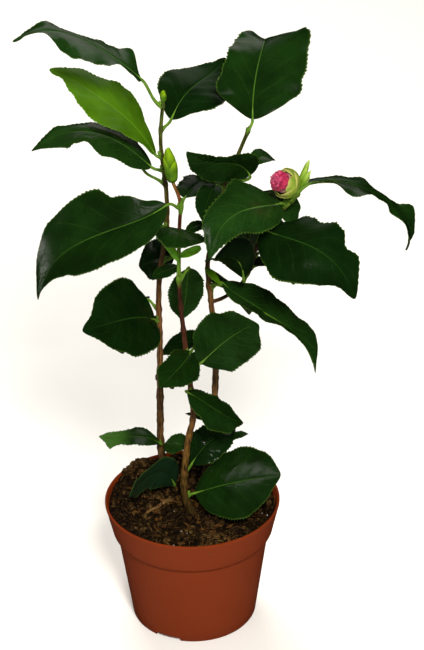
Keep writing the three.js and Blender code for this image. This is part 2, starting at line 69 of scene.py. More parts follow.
MAP_NAME = "pattern_map"
FULL_TURN = 2 * math.pi
GOLDEN_ANGLE = math.radians(137.5)
UP = Vector((0, 0, 1))

# Fit of the source: the plant's skin follows these rules again
SOIL_LEVEL = 94.0
GAP = 0.3
STEM_STEPS = 3
ROOT_FLARE = 0.35
ROOT_FLARE_HEIGHT = 7.0
STALK_RADIUS = 1.15
SMALL_LEAF_LENGTH = 40.0

Point = tuple[float, float, float]
Marks = tuple[float, ...]
Tree = bpy.types.NodeTree
Socket = bpy.types.NodeSocket
Piece = bpy.types.Object
BMesh = bmesh.types.BMesh


# Small helpers


def smoothstep(low: float, high: float, value: float) -> float:
    """Share from 0 to 1 that eases in at low and out at high."""
    share = min(max((value - low) / (high - low), 0.0), 1.0)
    return share * share * (3.0 - 2.0 * share)


def mix(first: float, second: float, share: float) -> float:
    """Value a share of the way from first to second."""
    return first + (second - first) * share


def square_to(vector: Vector, direction: Vector) -> Vector:
    """Part of a vector that is square to a unit direction, made unit length."""
    return (vector - direction * vector.dot(direction)).normalized()


def wobble(x: float, y: float, z: float) -> float:
    """Smooth noise at a place, the same on every run."""
    return noise.noise(Vector((x, y, z)))


def linear(code: str) -> tuple[float, float, float, float]:
    """Turns an sRGB hex value to the linear colour that shaders take.

    Args:
        code: six hex digits.

    Returns:
        Red, green, blue and an alpha of 1.
    """
    shares = [int(code[i : i + 2], 16) / 255 for i in (0, 2, 4)]
    light = [s / 12.92 if s <= 0.04045 else ((s + 0.055) / 1.055) ** 2.4 for s in shares]
    return light[0], light[1], light[2], 1.0


@dataclass(frozen=True)
class Bezier:
    """Cubic curve through four control points."""

    points: tuple[Vector, Vector, Vector, Vector]

    def at(self, t: float) -> Vector:
        """Finds a point of the curve.

        Args:
            t: share of the curve from its start.

        Returns:
            The point.
        """
        a, b, c, d = self.points
        s = 1.0 - t
        return a * s**3 + b * (3 * s * s * t) + c * (3 * s * t * t) + d * t**3

    def heading(self, t: float) -> Vector:
        """Finds the direction of travel.

        Args:
            t: share of the curve from its start.

        Returns:
            The direction, of unit length.
        """
        a, b, c, d = self.points
        s = 1.0 - t
        return ((b - a) * s * s + (c - b) * (2 * s * t) + (d - c) * t * t).normalized()


def smooth_path(bends: Sequence[Vector], steps: int) -> list[Vector]:
    """Curve that passes through every bend.

    Args:
        bends: the points to pass through.
        steps: points from one bend to the next.

    Returns:
        Points along the curve, its two ends among them.
    """
    ends = [bends[0] * 2 - bends[1], *bends, bends[-1] * 2 - bends[-2]]
    path = []
    for a, b, c, d in zip(ends, ends[1:], ends[2:], ends[3:]):
        for k in range(steps):
            t = k / steps
            point = b * 2 + (c - a) * t + (a * 2 - b * 5 + c * 4 - d) * t * t
            path.append(0.5 * (point + (b * 3 - a - c * 3 + d) * t**3))
    return [*path, bends[-1].copy()]


# Materials

# A colour mix takes its share, first and second colour at these places
SHARE, FIRST, SECOND = 0, 6, 7


def add_node(
    tree: Tree,
    kind: str,
    inputs: Sequence[Any] | Mapping[Any, Any] = (),
    out: int | str = 0,
    stops: Sequence[tuple[float, str]] = (),
    **settings: Any,
) -> Socket | None:
    """Adds a shader node with its settings, its values and its links.

    Args:
        tree: node tree that takes the node.
        kind: the node's type, without the word that every type starts with.
        inputs: value, hex colour or output socket of each input, in order, or by name or place.
        out: the output that is handed back.
        stops: place and hex colour of each stop, where the node has a ramp.
        settings: the node's own settings.

    Returns:
        One of the node's outputs, or None where it has none.
    """
    node = tree.nodes.new("ShaderNode" + kind)
    for name, value in settings.items():
        setattr(node, name, value)
    named = inputs if isinstance(inputs, Mapping) else dict(enumerate(inputs))
    for name, value in named.items():
        if isinstance(value, Socket):
            tree.links.new(value, node.inputs[name])
        else:
            node.inputs[name].default_value = linear(value) if isinstance(value, str) else value
    for i, (place, code) in enumerate(stops):
        ramp = node.color_ramp.elements
        stop = ramp[i] if i < len(ramp) else ramp.new(place)
        stop.position = place
        stop.color = linear(code)
    return node.outputs[out] if node.outputs else None


@dataclass
class Surface:
    """What a finish draws: a ground colour, colours laid over it in turn, gloss and height."""

    ground: Socket | str
    layers: list[tuple[Socket, str]] = field(default_factory=list)
    roughness: Socket | float = 0.5
    height: Socket | None = None
    more: dict[str, float] = field(default_factory=dict)


@dataclass(frozen=True)
class Finish:
    """Base of every finish: its two main colours, its gloss, and its relief in millimetres."""

    name: str
    colour: str = "ffffff"
    shade: str = "ffffff"
    roughness: float = 0.5
    ior: float = 1.45
    shine: float = 0.5
    bump: float = 0.4
    relief: float = 0.3

    def material(self) -> bpy.types.Material:
        """Makes the finish's material, the first time that it is asked for.

        Returns:
            The material.
        """
        made = bpy.data.materials.get(self.name)
        if made is not None:
            return made
        made = bpy.data.materials.new(self.name)
        made.use_nodes = True
        tree = made.node_tree
        tree.nodes.clear()
        surface = self.dress(tree, add_node(tree, "TexCoord", out="Object"))
        colour = surface.ground
        for share, over in surface.layers:
            inputs = {SHARE: share, FIRST: colour, SECOND: over}
            colour = add_node(tree, "Mix", inputs, out=2, data_type="RGBA")
        inputs = {"Base Color": colour, "Roughness": surface.roughness, "IOR": self.ior}
        inputs |= {"Specular IOR Level": self.shine, **surface.more}
        if surface.height is not None:
            bump = {"Height": surface.height, "Strength": self.bump, "Distance": self.relief * MM}
            inputs["Normal"] = add_node(tree, "Bump", bump)
        add_node(tree, "OutputMaterial", [add_node(tree, "BsdfPrincipled", inputs)])
        return made

    def dress(self, tree: Tree, where: Socket) -> Surface:
        """Adds the finish's own nodes.

        Args:
            tree: node tree that takes them.
            where: the piece's own coordinates, in metres.

        Returns:
            What the finish draws.
        """
        raise NotImplementedError


@dataclass(frozen=True)
class LeafPattern:
    """What a leaf's two faces share: how far out and along a point is, its veins and clouding."""

    side: Socket
    along: Socket
    vein: Socket
    rib: Socket
    net: Socket
    cloud: Socket


def leaf_pattern(tree: Tree, where: Socket, pairs: float = 7.0) -> LeafPattern:
    """Adds the veins of a leaf, drawn on the leaf's own map.

    Args:
        tree: node tree that takes the nodes.
        where: the piece's own coordinates.
        pairs: side veins on each half of the blade.

    Returns:
        The pattern's sockets.
    """
    across = add_node(tree, "SeparateXYZ", [add_node(tree, "UVMap", uv_map=MAP_NAME)])
    along = across.node.outputs[1]
    centred = add_node(tree, "Math", [across, 2.0, -1.0], operation="MULTIPLY_ADD")
    side = add_node(tree, "Math", [centred], operation="ABSOLUTE")
    wander = add_node(tree, "TexNoise", {"Vector": where, "Scale": 70.0, "Detail": 1.0})
    # Side veins leave the rib at a slant and bend forward to the margin
    bent = add_node(tree, "Math", [side, 0.8], operation="POWER")
    slant = add_node(tree, "Math", [bent, -0.3, along], operation="MULTIPLY_ADD")
    loose = add_node(tree, "Math", [wander, 0.06, slant], operation="MULTIPLY_ADD")
    phase = add_node(tree, "Math", [loose, pairs], operation="MULTIPLY")
    beat = add_node(tree, "Math", [phase, 0.5], operation="PINGPONG")
    line = add_node(tree, "MapRange", [beat, 0.0, 0.05, 1.0, 0.0], interpolation_type="SMOOTHSTEP")
    inner = add_node(tree, "MapRange", [side, 0.6, 0.93, 1.0, 0.0])
    vein = add_node(tree, "Math", [line, inner], operation="MULTIPLY")
    near = add_node(tree, "MapRange", [side, 0.008, 0.022, 1.0, 0.0], interpolation_type="SMOOTHSTEP")
    fade = add_node(tree, "MapRange", [along, 0.05, 0.75, 1.0, 0.3])
    rib = add_node(tree, "Math", [near, fade], operation="MULTIPLY")
    # Net of the finest veins, about 1.5 mm from knot to knot
    knots = {"Vector": where, "Scale": 650.0}
    cell = add_node(tree, "TexVoronoi", knots, feature="DISTANCE_TO_EDGE")
    net = add_node(tree, "MapRange", [cell, 0.0, 0.12, 1.0, 0.0])
    clouds = {"Vector": where, "Scale": 48.0, "Detail": 3.0, "Roughness": 0.55}
    cloud = add_node(tree, "MapRange", [add_node(tree, "TexNoise", clouds), 0.32, 0.68])
    return LeafPattern(side, along, vein, rib, net, cloud)


@dataclass(frozen=True)
class LeafCuticle(Finish):
    """Waxy upper skin of a camellia leaf: dark, glossy, with a pale rib and sunken veins."""

    colour: str = "0f2907"
    shade: str = "091b05"
    roughness: float = 0.24
    rib: str = "4f7a26"
    margin: str = "47621f"
    rib_share: float = 0.55
    tip: str = ""

    def dress(self, tree: Tree, where: Socket) -> Surface:
        """Adds the clouding, the paler tip where there is one, the veins, rib and margin.

        Args:
            tree: node tree that takes the nodes.
            where: the piece's own coordinates, in metres.

        Returns:
            What the cuticle draws.
        """
        leaf = leaf_pattern(tree, where)
        layers = [(leaf.cloud, self.colour)]
        if self.tip:
            out = add_node(tree, "MapRange", [leaf.along, 0.42, 0.72], interpolation_type="SMOOTHSTEP")
            layers.append((out, self.tip))
        faint = add_node(tree, "Math", [leaf.net, 0.025], operation="MULTIPLY")
        veins = add_node(tree, "Math", [leaf.vein, 0.06, faint], operation="MULTIPLY_ADD")
        pale = add_node(tree, "Math", [leaf.rib, self.rib_share], operation="MULTIPLY")
        rim = add_node(tree, "MapRange", [leaf.side, 0.97, 1.0, 0.0, 0.5])
        layers += [(veins, self.rib), (pale, self.rib), (rim, self.margin)]
        dull, bright = self.roughness + 0.08, self.roughness - 0.04
        gloss = add_node(tree, "MapRange", [leaf.cloud, 0.0, 1.0, bright, dull])
        height = add_node(tree, "Math", [leaf.vein, -0.55, 1.0], operation="MULTIPLY_ADD")
        for groove, depth in ((leaf.net, -0.14), (leaf.rib, -0.7)):
            height = add_node(tree, "Math", [groove, depth, height], operation="MULTIPLY_ADD")
        return Surface(self.shade, layers, gloss, height)


@dataclass(frozen=True)
class LeafUnderside(Finish):
    """Matt underside of a leaf: paler green, with its veins standing out."""

    colour: str = "2f4a18"
    shade: str = "223a12"
    rib: str = "5f7d34"
    roughness: float = 0.55
    ior: float = 1.42
    shine: float = 0.3
    bump: float = 0.35

    def dress(self, tree: Tree, where: Socket) -> Surface:
        """Adds the clouding and the veins.

        Args:
            tree: node tree that takes the nodes.
            where: the piece's own coordinates, in metres.

        Returns:
            What the underside draws.
        """
        leaf = leaf_pattern(tree, where)
        faint = add_node(tree, "Math", [leaf.vein, 0.45], operation="MULTIPLY")
        layers = [(leaf.cloud, self.colour), (faint, self.rib)]
        return Surface(self.shade, layers, self.roughness, leaf.vein)


@dataclass(frozen=True)
class GreenSkin(Finish):
    """Smooth young skin of stalks, scales and buds: two greens in soft streaks."""

    roughness: float = 0.42
    ior: float = 1.42
    shine: float = 0.3
    bump: float = 0.15
    relief: float = 0.2
    streak: float = 260.0
    tip: str = ""
    tip_start: float = 0.5

    def dress(self, tree: Tree, where: Socket) -> Surface:
        """Adds the streaks, and the paler tip where there is one.

        Args:
            tree: node tree that takes the nodes.
            where: the piece's own coordinates, in metres.

        Returns:
            What the skin draws.
        """
        cloud = add_node(tree, "TexNoise", {"Vector": where, "Scale": self.streak, "Detail": 3.0})
        layers = [(add_node(tree, "MapRange", [cloud, 0.32, 0.68]), self.colour)]
        if self.tip:
            along = add_node(tree, "SeparateXYZ", [add_node(tree, "UVMap", uv_map=MAP_NAME)], out=1)
            end = add_node(tree, "MapRange", [along, self.tip_start], interpolation_type="SMOOTHSTEP")
            layers.append((end, self.tip))
        return Surface(self.shade, layers, self.roughness, cloud)


@dataclass(frozen=True)
class StemBark(Finish):
    """Thin fibrous bark: dark furrows between paler cork, red-brown and green higher up."""

    stops: tuple[tuple[float, str], ...] = ()
    low: float = 94.0
    high: float = 420.0
    furrow: str = "140c06"
    roughness: float = 0.7
    shine: float = 0.25
    bump: float = 0.8
    relief: float = 0.6

    def dress(self, tree: Tree, where: Socket) -> Surface:
        """Adds the colours by height, the mottling and the furrows.

        Args:
            tree: node tree that takes the nodes.
            where: the piece's own coordinates, in metres.

        Returns:
            What the bark draws.
        """
        rise = add_node(tree, "SeparateXYZ", [where], out=2)
        rise = add_node(tree, "MapRange", [rise, self.low * MM, self.high * MM])
        span = self.high - self.low
        stops = [((height - self.low) / span, code) for height, code in self.stops]
        age = add_node(tree, "ValToRGB", [rise], stops=stops)
        # Fibres are about 0.9 mm apart round the stem and 12 mm long
        drawn = add_node(tree, "Mapping", {"Vector": where, "Scale": (1.0, 1.0, 0.08)})
        strands = {"Vector": drawn, "Scale": 1100.0, "Detail": 4.0, "Roughness": 0.65}
        fibre = add_node(tree, "TexNoise", strands)
        crack = add_node(tree, "MapRange", [fibre, 0.4, 0.54, 0.85, 0.0])
        mottle = add_node(tree, "TexNoise", {"Vector": where, "Scale": 180.0, "Detail": 3.0})
        light = add_node(tree, "MapRange", [mottle, 0.3, 0.7, 0.7, 1.3])
        toned = add_node(tree, "HueSaturation", {"Color": age, "Value": light})
        return Surface(toned, [(crack, self.furrow)], self.roughness, fibre)


@dataclass(frozen=True)
class MouldedPolypropylene(Finish):
    """Injection-moulded nursery pot plastic: satin brick colour with dust and light scuffs."""

    colour: str = "732c0d"
    shade: str = "68270b"
    dust: str = "704630"
    ior: float = 1.49
    shine: float = 0.12
    bump: float = 0.12
    relief: float = 0.25

    def dress(self, tree: Tree, where: Socket) -> Surface:
        """Adds the uneven colour, the flow lines, the scuffs and the dust.

        Args:
            tree: node tree that takes the nodes.
            where: the piece's own coordinates, in metres.

        Returns:
            What the plastic draws.
        """
        rise = add_node(tree, "SeparateXYZ", [where], out=2)
        clouds = {"Vector": where, "Scale": 22.0, "Detail": 4.0, "Roughness": 0.6}
        cloud = add_node(tree, "TexNoise", clouds)
        # Flow lines of the moulding run up the wall, drawn 4 mm apart so that they show
        drawn = add_node(tree, "Mapping", {"Vector": where, "Scale": (1.0, 1.0, 0.06)})
        flow = add_node(tree, "TexNoise", {"Vector": drawn, "Scale": 240.0, "Detail": 2.0})
        # Scuffs are short faint scratches, and dust gathers at the foot
        slanted = {"Vector": where, "Rotation": (0.0, 0.9, 0.3), "Scale": (1.0, 1.0, 0.25)}
        tilted = add_node(tree, "Mapping", slanted)
        scratch = add_node(tree, "TexNoise", {"Vector": tilted, "Scale": 420.0, "Detail": 2.0})
        scuff = add_node(tree, "MapRange", [scratch, 0.7, 0.78, 0.0, 0.3])
        speck = add_node(tree, "TexNoise", {"Vector": where, "Scale": 520.0, "Detail": 3.0})
        foot = add_node(tree, "MapRange", [rise, 0.0, 12.0 * MM, 0.64, 0.73])
        above = add_node(tree, "Math", [speck, foot], operation="SUBTRACT")
        grime = add_node(tree, "MapRange", [above, 0.0, 0.06, 0.0, 0.3])
        marks = add_node(tree, "Math", [scuff, grime], operation="MAXIMUM")
        gloss = add_node(tree, "MapRange", [cloud, 0.3, 0.7, 0.42, 0.52])
        grain = add_node(tree, "Math", [speck, 0.25, flow], operation="MULTIPLY_ADD")
        return Surface(self.shade, [(cloud, self.colour), (marks, self.dust)], gloss, grain)


@dataclass(frozen=True)
class Peat(Finish):
    """Damp fibrous compost and what is mixed in it: three tones in crumbs, fully matt."""

    dark: str = "080503"
    middle: str = "150e08"
    pale: str = "332417"
    scale: float = 420.0
    roughness: float = 0.92
    ior: float = 1.4
    shine: float = 0.2
    bump: float = 0.8
    relief: float = 1.0

    def dress(self, tree: Tree, where: Socket) -> Surface:
        """Adds the crumbs in their three tones.

        Args:
            tree: node tree that takes the nodes.
            where: the piece's own coordinates, in metres.

        Returns:
            What the peat draws.
        """
        crumbs = {"Vector": where, "Scale": self.scale, "Detail": 5.0, "Roughness": 0.68}
        crumb = add_node(tree, "TexNoise", crumbs)
        stops = [(0.34, self.dark), (0.52, self.middle), (0.7, self.pale)]
        tones = add_node(tree, "ValToRGB", [crumb], stops=stops)
        return Surface(tones, roughness=self.roughness, height=crumb)


@dataclass(frozen=True)
class PetalTissue(Finish):
    """Crumpled petal: deep pink in soft patches, lighter at the edges, with a soft bloom."""

    colour: str = "a8294b"
    shade: str = "7c1433"
    edge: str = "be5a7c"
    ior: float = 1.4

    def dress(self, tree: Tree, where: Socket) -> Surface:
        """Adds the darker pink patches and the pale lip.

        Args:
            tree: node tree that takes the nodes.
            where: the piece's own coordinates, in metres.

        Returns:
            What the petal draws.
        """
        along = add_node(tree, "SeparateXYZ", [add_node(tree, "UVMap", uv_map=MAP_NAME)], out=1)
        cloud = add_node(tree, "TexNoise", {"Vector": where, "Scale": 380.0, "Detail": 2.0})
        patch = add_node(tree, "MapRange", [cloud, 0.38, 0.62])
        lip = add_node(tree, "MapRange", [along, 0.86, 1.0, 0.0, 0.8])
        bloom = {"Sheen Weight": 0.15, "Sheen Roughness": 0.4}
        return Surface(self.shade, [(patch, self.colour), (lip, self.edge)], self.roughness, more=bloom)


@dataclass(frozen=True)
class Backdrop(Finish):
    """Matt pale paper that the pot stands on."""

    colour: str = "f4f3f0"
    roughness: float = 0.9
    ior: float = 1.5

    def dress(self, tree: Tree, where: Socket) -> Surface:
        """Gives the plain paper."""
        return Surface(self.colour, roughness=self.roughness)


# Mesh making


def weave(
    bm: BMesh,
    across: int,
    along: int,
    place: Callable[[int, int], Vector],
    texture: Callable[[int, int], tuple[float, float]] | None = None,
    material: Callable[[int, int], int] | None = None,
    sharp: Sequence[int] = (),
    capped: bool = True,
) -> None:
    """Bends a grid of quads into a skin: a blade, a limb, a petal or a scale.

    Args:
        bm: mesh that takes the skin.
        across: quads round or across the skin.
        along: quads along it.
        place: where the point at a column and a row goes, in millimetres.
        texture: place of that point on the piece's own pattern.
        material: material slot of the quad at a column and a row.
        sharp: columns whose lengthwise edges stay crisp.
        capped: whether open ends are closed.
    """
    layer = bm.loops.layers.uv.get(MAP_NAME) or bm.loops.layers.uv.new(MAP_NAME)
    grid = bmesh.ops.create_grid(bm, x_segments=across, y_segments=along, size=0.5, calc_uvs=False)
    verts = grid["verts"]
    spots = {v: (round((v.co.x + 0.5) * across), round((v.co.y + 0.5) * along)) for v in verts}
    for face in {face for vert in verts for face in vert.link_faces}:
        corners = [spots[loop.vert] for loop in face.loops]
        if material:
            face.material_index = material(min(c[0] for c in corners), min(c[1] for c in corners))
        face.smooth = True
        for loop, (k, j) in zip(face.loops, corners):
            loop[layer].uv = texture(k, j) if texture else (k / across, j / along)
    if sharp:
        for edge in {edge for vert in verts for edge in vert.link_edges}:
            first, second = (spots[vert] for vert in edge.verts)
            if first[0] == second[0] and first[0] in sharp:
                edge.smooth = False
    for vert, (k, j) in spots.items():
        vert.co = place(k, j)
    bmesh.ops.remove_doubles(bm, verts=verts, dist=1e-4)
    if capped:
        left = [vert for vert in verts if vert.is_valid]
        rim = [edge for edge in {e for v in left for e in v.link_edges} if edge.is_boundary]
        for face in bmesh.ops.holes_fill(bm, edges=rim, sides=0)["faces"]:
            face.smooth = True


def tube(
    bm: BMesh,
    centres: Sequence[Vector],
    radii: Sequence[float],
    sides: int,
    slot: int = 0,
    relief: Callable[[float, Vector], float] | None = None,
) -> None:
    """Adds a round limb along a line of points.

    Args:
        bm: mesh that takes the limb.
        centres: points that the limb follows.
        radii: its radius at each of them.
        sides: points round it.
        slot: its material slot.
        relief: how far the skin stands out, from an angle and a point.
    """
    frames = []
    side = Vector((1.0, 0.13, 0.07))
    for i, centre in enumerate(centres):
        ahead = centres[min(i + 1, len(centres) - 1)]
        heading = (ahead - centres[max(i - 1, 0)]).normalized()
        side = square_to(side, heading)
        frames.append((centre, side, heading.cross(side)))

    def place(k: int, j: int) -> Vector:
        """Places a point of the limb's skin.

        Args:
            k: the point's column.
            j: the point's row.

        Returns:
            The point.
        """
        centre, out, up = frames[j]
        angle = FULL_TURN * (k % sides) / sides
        radius = radii[j] + (relief(angle, centre) if relief else 0.0)
        return centre + out * (radius * math.cos(angle)) + up * (radius * math.sin(angle))

    weave(bm, sides, len(centres) - 1, place, material=lambda k, j: slot)


def sheet(
    bm: BMesh,
    across: int,
    along: int,
    place: Callable[[float, float], Vector],
    thickness: float,
    slot: int = 0,
) -> None:
    """Adds a thin free sheet: a petal, a scale or a bract.

    Args:
        bm: mesh that takes the sheet.
        across: quads across it.
        along: quads along it.
        place: where a point goes, from -1 to 1 across and from 0 to 1 along.
        thickness: how thick it is.
        slot: its material slot.
    """
    before = set(bm.faces)

    def spot(k: int, j: int) -> Vector:
        """Point at a column and a row."""
        return place(2 * k / across - 1, j / along)

    weave(bm, across, along, spot, material=lambda k, j: slot, capped=False)
    made = [face for face in bm.faces if face not in before]
    bmesh.ops.recalc_face_normals(bm, faces=made)
    bmesh.ops.solidify(bm, geom=made, thickness=thickness)


def bevel(
    bm: BMesh, edges: Sequence[bmesh.types.BMEdge], width: float, segments: int
) -> Sequence[bmesh.types.BMVert]:
    """Rounds edges.

    Args:
        bm: mesh that the edges are in.
        edges: the edges.
        width: how far the rounding reaches from each of them.
        segments: steps of the rounding.

    Returns:
        The points that it adds.
    """
    made = bmesh.ops.bevel(
        bm, geom=edges, offset=width, affect="EDGES", segments=segments, profile=0.5, material=-1
    )
    return made["verts"]


def scene_object(name: str, bm: BMesh) -> Piece:
    """Puts a mesh into the scene.

    Args:
        name: the object's name.
        bm: the mesh, which is used up.

    Returns:
        The object.
    """
    mesh = bpy.data.meshes.new(name)
    bm.to_mesh(mesh)
    bm.free()
    made = bpy.data.objects.new(name, mesh)
    bpy.context.scene.collection.objects.link(made)
    return made


def finish_piece(
    bm: BMesh, name: str, finishes: Sequence[Finish], stands_for: Sequence[str] = ()
) -> Piece:
    """Turns a mesh made in millimetres into a piece of the plant.

    Args:
        bm: the mesh, which is used up.
        name: the piece's name.
        finishes: finish of each material slot.
        stands_for: CAD nodes that the piece replaces.

    Returns:
        The piece, riding on the plant's body.
    """
    bmesh.ops.recalc_face_normals(bm, faces=bm.faces[:])
    bmesh.ops.scale(bm, vec=(MM, MM, MM), verts=bm.verts[:])
    piece = scene_object(name, bm)
    for finish in finishes:
        piece.data.materials.append(finish.material())
    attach(piece, BODY)
    if stands_for:
        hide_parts(*stands_for)
    LOG.info("%s: %d faces", name, len(piece.data.polygons))
    return piece


# Stems


@dataclass(frozen=True)
class Node:
    """Place on a stem: its middle, its radius and the way the stem heads there."""

    point: Vector
    radius: float
    heading: Vector


@dataclass
class Stem:
    """Upright stem or side branch, with bark relief and a swelling at each leaf.

    The axis and the taper are the source's own rule, written again.
    """

    name: str
    foot: float
    tip: float
    bends: tuple[Point, ...]
    colours: tuple[tuple[float, str], ...]
    scars: Marks
    parent: "Stem | None" = None
    relief: float = 0.34
    sides: int = 28
    row: float = 1.3
    sunk: float = 1.6
    swelling: float = 0.42
    leaves: list[float] = field(default_factory=list)
    axis: list[Vector] = field(init=False)
    radii: list[float] = field(init=False)

    def __post_init__(self) -> None:
        """Works out the axis and the radius at each of its points."""
        bends = [Vector(b) for b in self.bends]
        if self.parent:
            node = self.parent.at(bends[0].z)
            towards = (bends[1] - node.point).normalized()
            bends[0] = node.point + towards * (node.radius + GAP + 0.5)
        self.axis = smooth_path(bends, STEM_STEPS)
        run = [0.0]
        for a, b in zip(self.axis, self.axis[1:]):
            run.append(run[-1] + (b - a).length)
        self.radii = []
        for point, length in zip(self.axis, run):
            rise = max(0.0, point.z - SOIL_LEVEL)
            flare = 0.0 if self.parent else ROOT_FLARE * math.exp(-rise / ROOT_FLARE_HEIGHT)
            share = (length / run[-1]) ** 0.85
            self.radii.append(mix(self.foot, self.tip, share) * (1 + flare))

    def at(self, height: float) -> Node:
        """Finds a place on the stem.

        Args:
            height: its height above the pot's foot.

        Returns:
            The place.
        """
        i = 0
        while i + 2 < len(self.axis) and self.axis[i + 1].z < height:
            i += 1
        a, b = self.axis[i], self.axis[i + 1]
        share = min(max((height - a.z) / (b.z - a.z), 0.0), 1.0)
        radius = mix(self.radii[i], self.radii[i + 1], share)
        return Node(a.lerp(b, share), radius, (b - a).normalized())

    def build(self) -> Piece:
        """Makes the stem's skin, from just inside the compost or its parent to its tip.

        Returns:
            The stem's piece.
        """
        fine: list[Vector] = []
        girths: list[float] = []
        for a, b, low, high in zip(self.axis, self.axis[1:], self.radii, self.radii[1:]):
            steps = max(2, round((b - a).length / self.row))
            for k in range(steps):
                fine.append(a.lerp(b, k / steps))
                girths.append(mix(low, high, k / steps))
        fine.append(self.axis[-1].copy())
        girths.append(self.radii[-1])
        rounded = fine[:]
        for i in range(2, len(fine) - 2):
            rounded[i] = (fine[i - 2] + fine[i - 1] + fine[i] + fine[i + 1] + fine[i + 2]) / 5
        rounded.insert(0, rounded[0] - (rounded[1] - rounded[0]).normalized() * self.sunk)
        girths.insert(0, girths[0] * (1.0 if self.parent else 1.15))
        seed = 7.0 * len(self.name) + self.foot

        def relief(angle: float, centre: Vector) -> float:
            """Raises the bark in ridges and furrows, with a collar at each leaf.

            Args:
                angle: angle round the stem.
                centre: middle of the stem at that height.

            Returns:
                How far the skin stands out, in mm.
            """
            age = 1.0 - smoothstep(0.25, 0.8, (centre.z - SOIL_LEVEL) / 320)
            x, y = math.cos(angle), math.sin(angle)
            furrow = abs(wobble(x * 2.6, y * 2.6, centre.z / 7 + seed)) * 2 - 0.5
            knob = wobble(x, y, centre.z / 5 + seed)
            collars = (*self.leaves, *self.scars)
            swell = sum(math.exp(-(((centre.z - height) / 1.9) ** 2)) for height in collars)
            ridges = self.relief * (0.25 + 0.75 * age) * (furrow * 1.1 + knob * 0.9)
            return ridges + self.swelling * min(swell, 1.2)

        bm = bmesh.new()
        tube(bm, rounded, girths, self.sides, relief=relief)
        bark = StemBark(self.name + "_bark", stops=self.colours)
        return finish_piece(bm, self.name, [bark], [self.name])


# Leaves


class Skin(Enum):
    """Named kinds of leaf skin, dealt out leaf by leaf; some are lighter and darker copies of one cuticle
    that carry painted light and painted shade.
    """

    DARK = LeafCuticle("leaf_cuticle_dark")
    # Darker, less glossy copy of the dark cuticle: partly darker leaves, partly painted shade on leaves that
    # look darker for how light falls on them
    DEEP_AND_SHADED = LeafCuticle("leaf_cuticle_deep", "0a1f06", "061504", shine=0.12, rib="35601c", rib_share=0.45)
    # Lighter copy of the dark cuticle: partly paler leaves, partly painted light and sheen on leaves that
    # look lighter for how light falls on them
    MID = LeafCuticle("leaf_cuticle_mid", "16330c", "0e2408", rib="5c8a30")
    # Blue-grey green that draws the leaf's gloss into its colour: a painted sheen
    PAINTED_SHEEN = LeafCuticle("leaf_cuticle_bluish", "142d18", "0d2011", 0.34, rib="24442a")
    YOUNG = LeafCuticle(
        "leaf_cuticle_young", "436b07", "335505", 0.34, shine=0.2, rib="6d9d2a", margin="5f8a26"
    )
    # Paler green towards the tip
    PALE_TIP = LeafCuticle("leaf_cuticle_fresh_tip", "0f2807", "0b1f06", rib="557f28", tip="32561a")
    SHADED = LeafCuticle("leaf_cuticle_shaded", "0a1f06", "061504", 0.36, rib="3f6a20")
    GLOSSY = LeafCuticle("leaf_cuticle_glossy", "0c2308", "071806", 0.17, shine=1.0, rib="3f6a20")


UNDERSIDE = LeafUnderside("leaf_underside")
YOUNG_UNDERSIDE = LeafUnderside("leaf_underside_young", "6f9428", "5a7f1c", rib="a0bf58")
STALK_SKIN = GreenSkin("leaf_stalk_skin", "5f8228", "3f5f1a")

# Share of the way from rib to margin of each column of the upper face, and of the lower
UPPER_COLUMNS = (0.0, 0.022, 0.05, 0.1, 0.18, 0.28, 0.39, 0.51, 0.63, 0.75, 0.86, 0.94, 0.98, 1.0)
LOWER_COLUMNS = (0.0, 0.06, 0.2, 0.4, 0.6, 0.8, 0.94, 1.0)


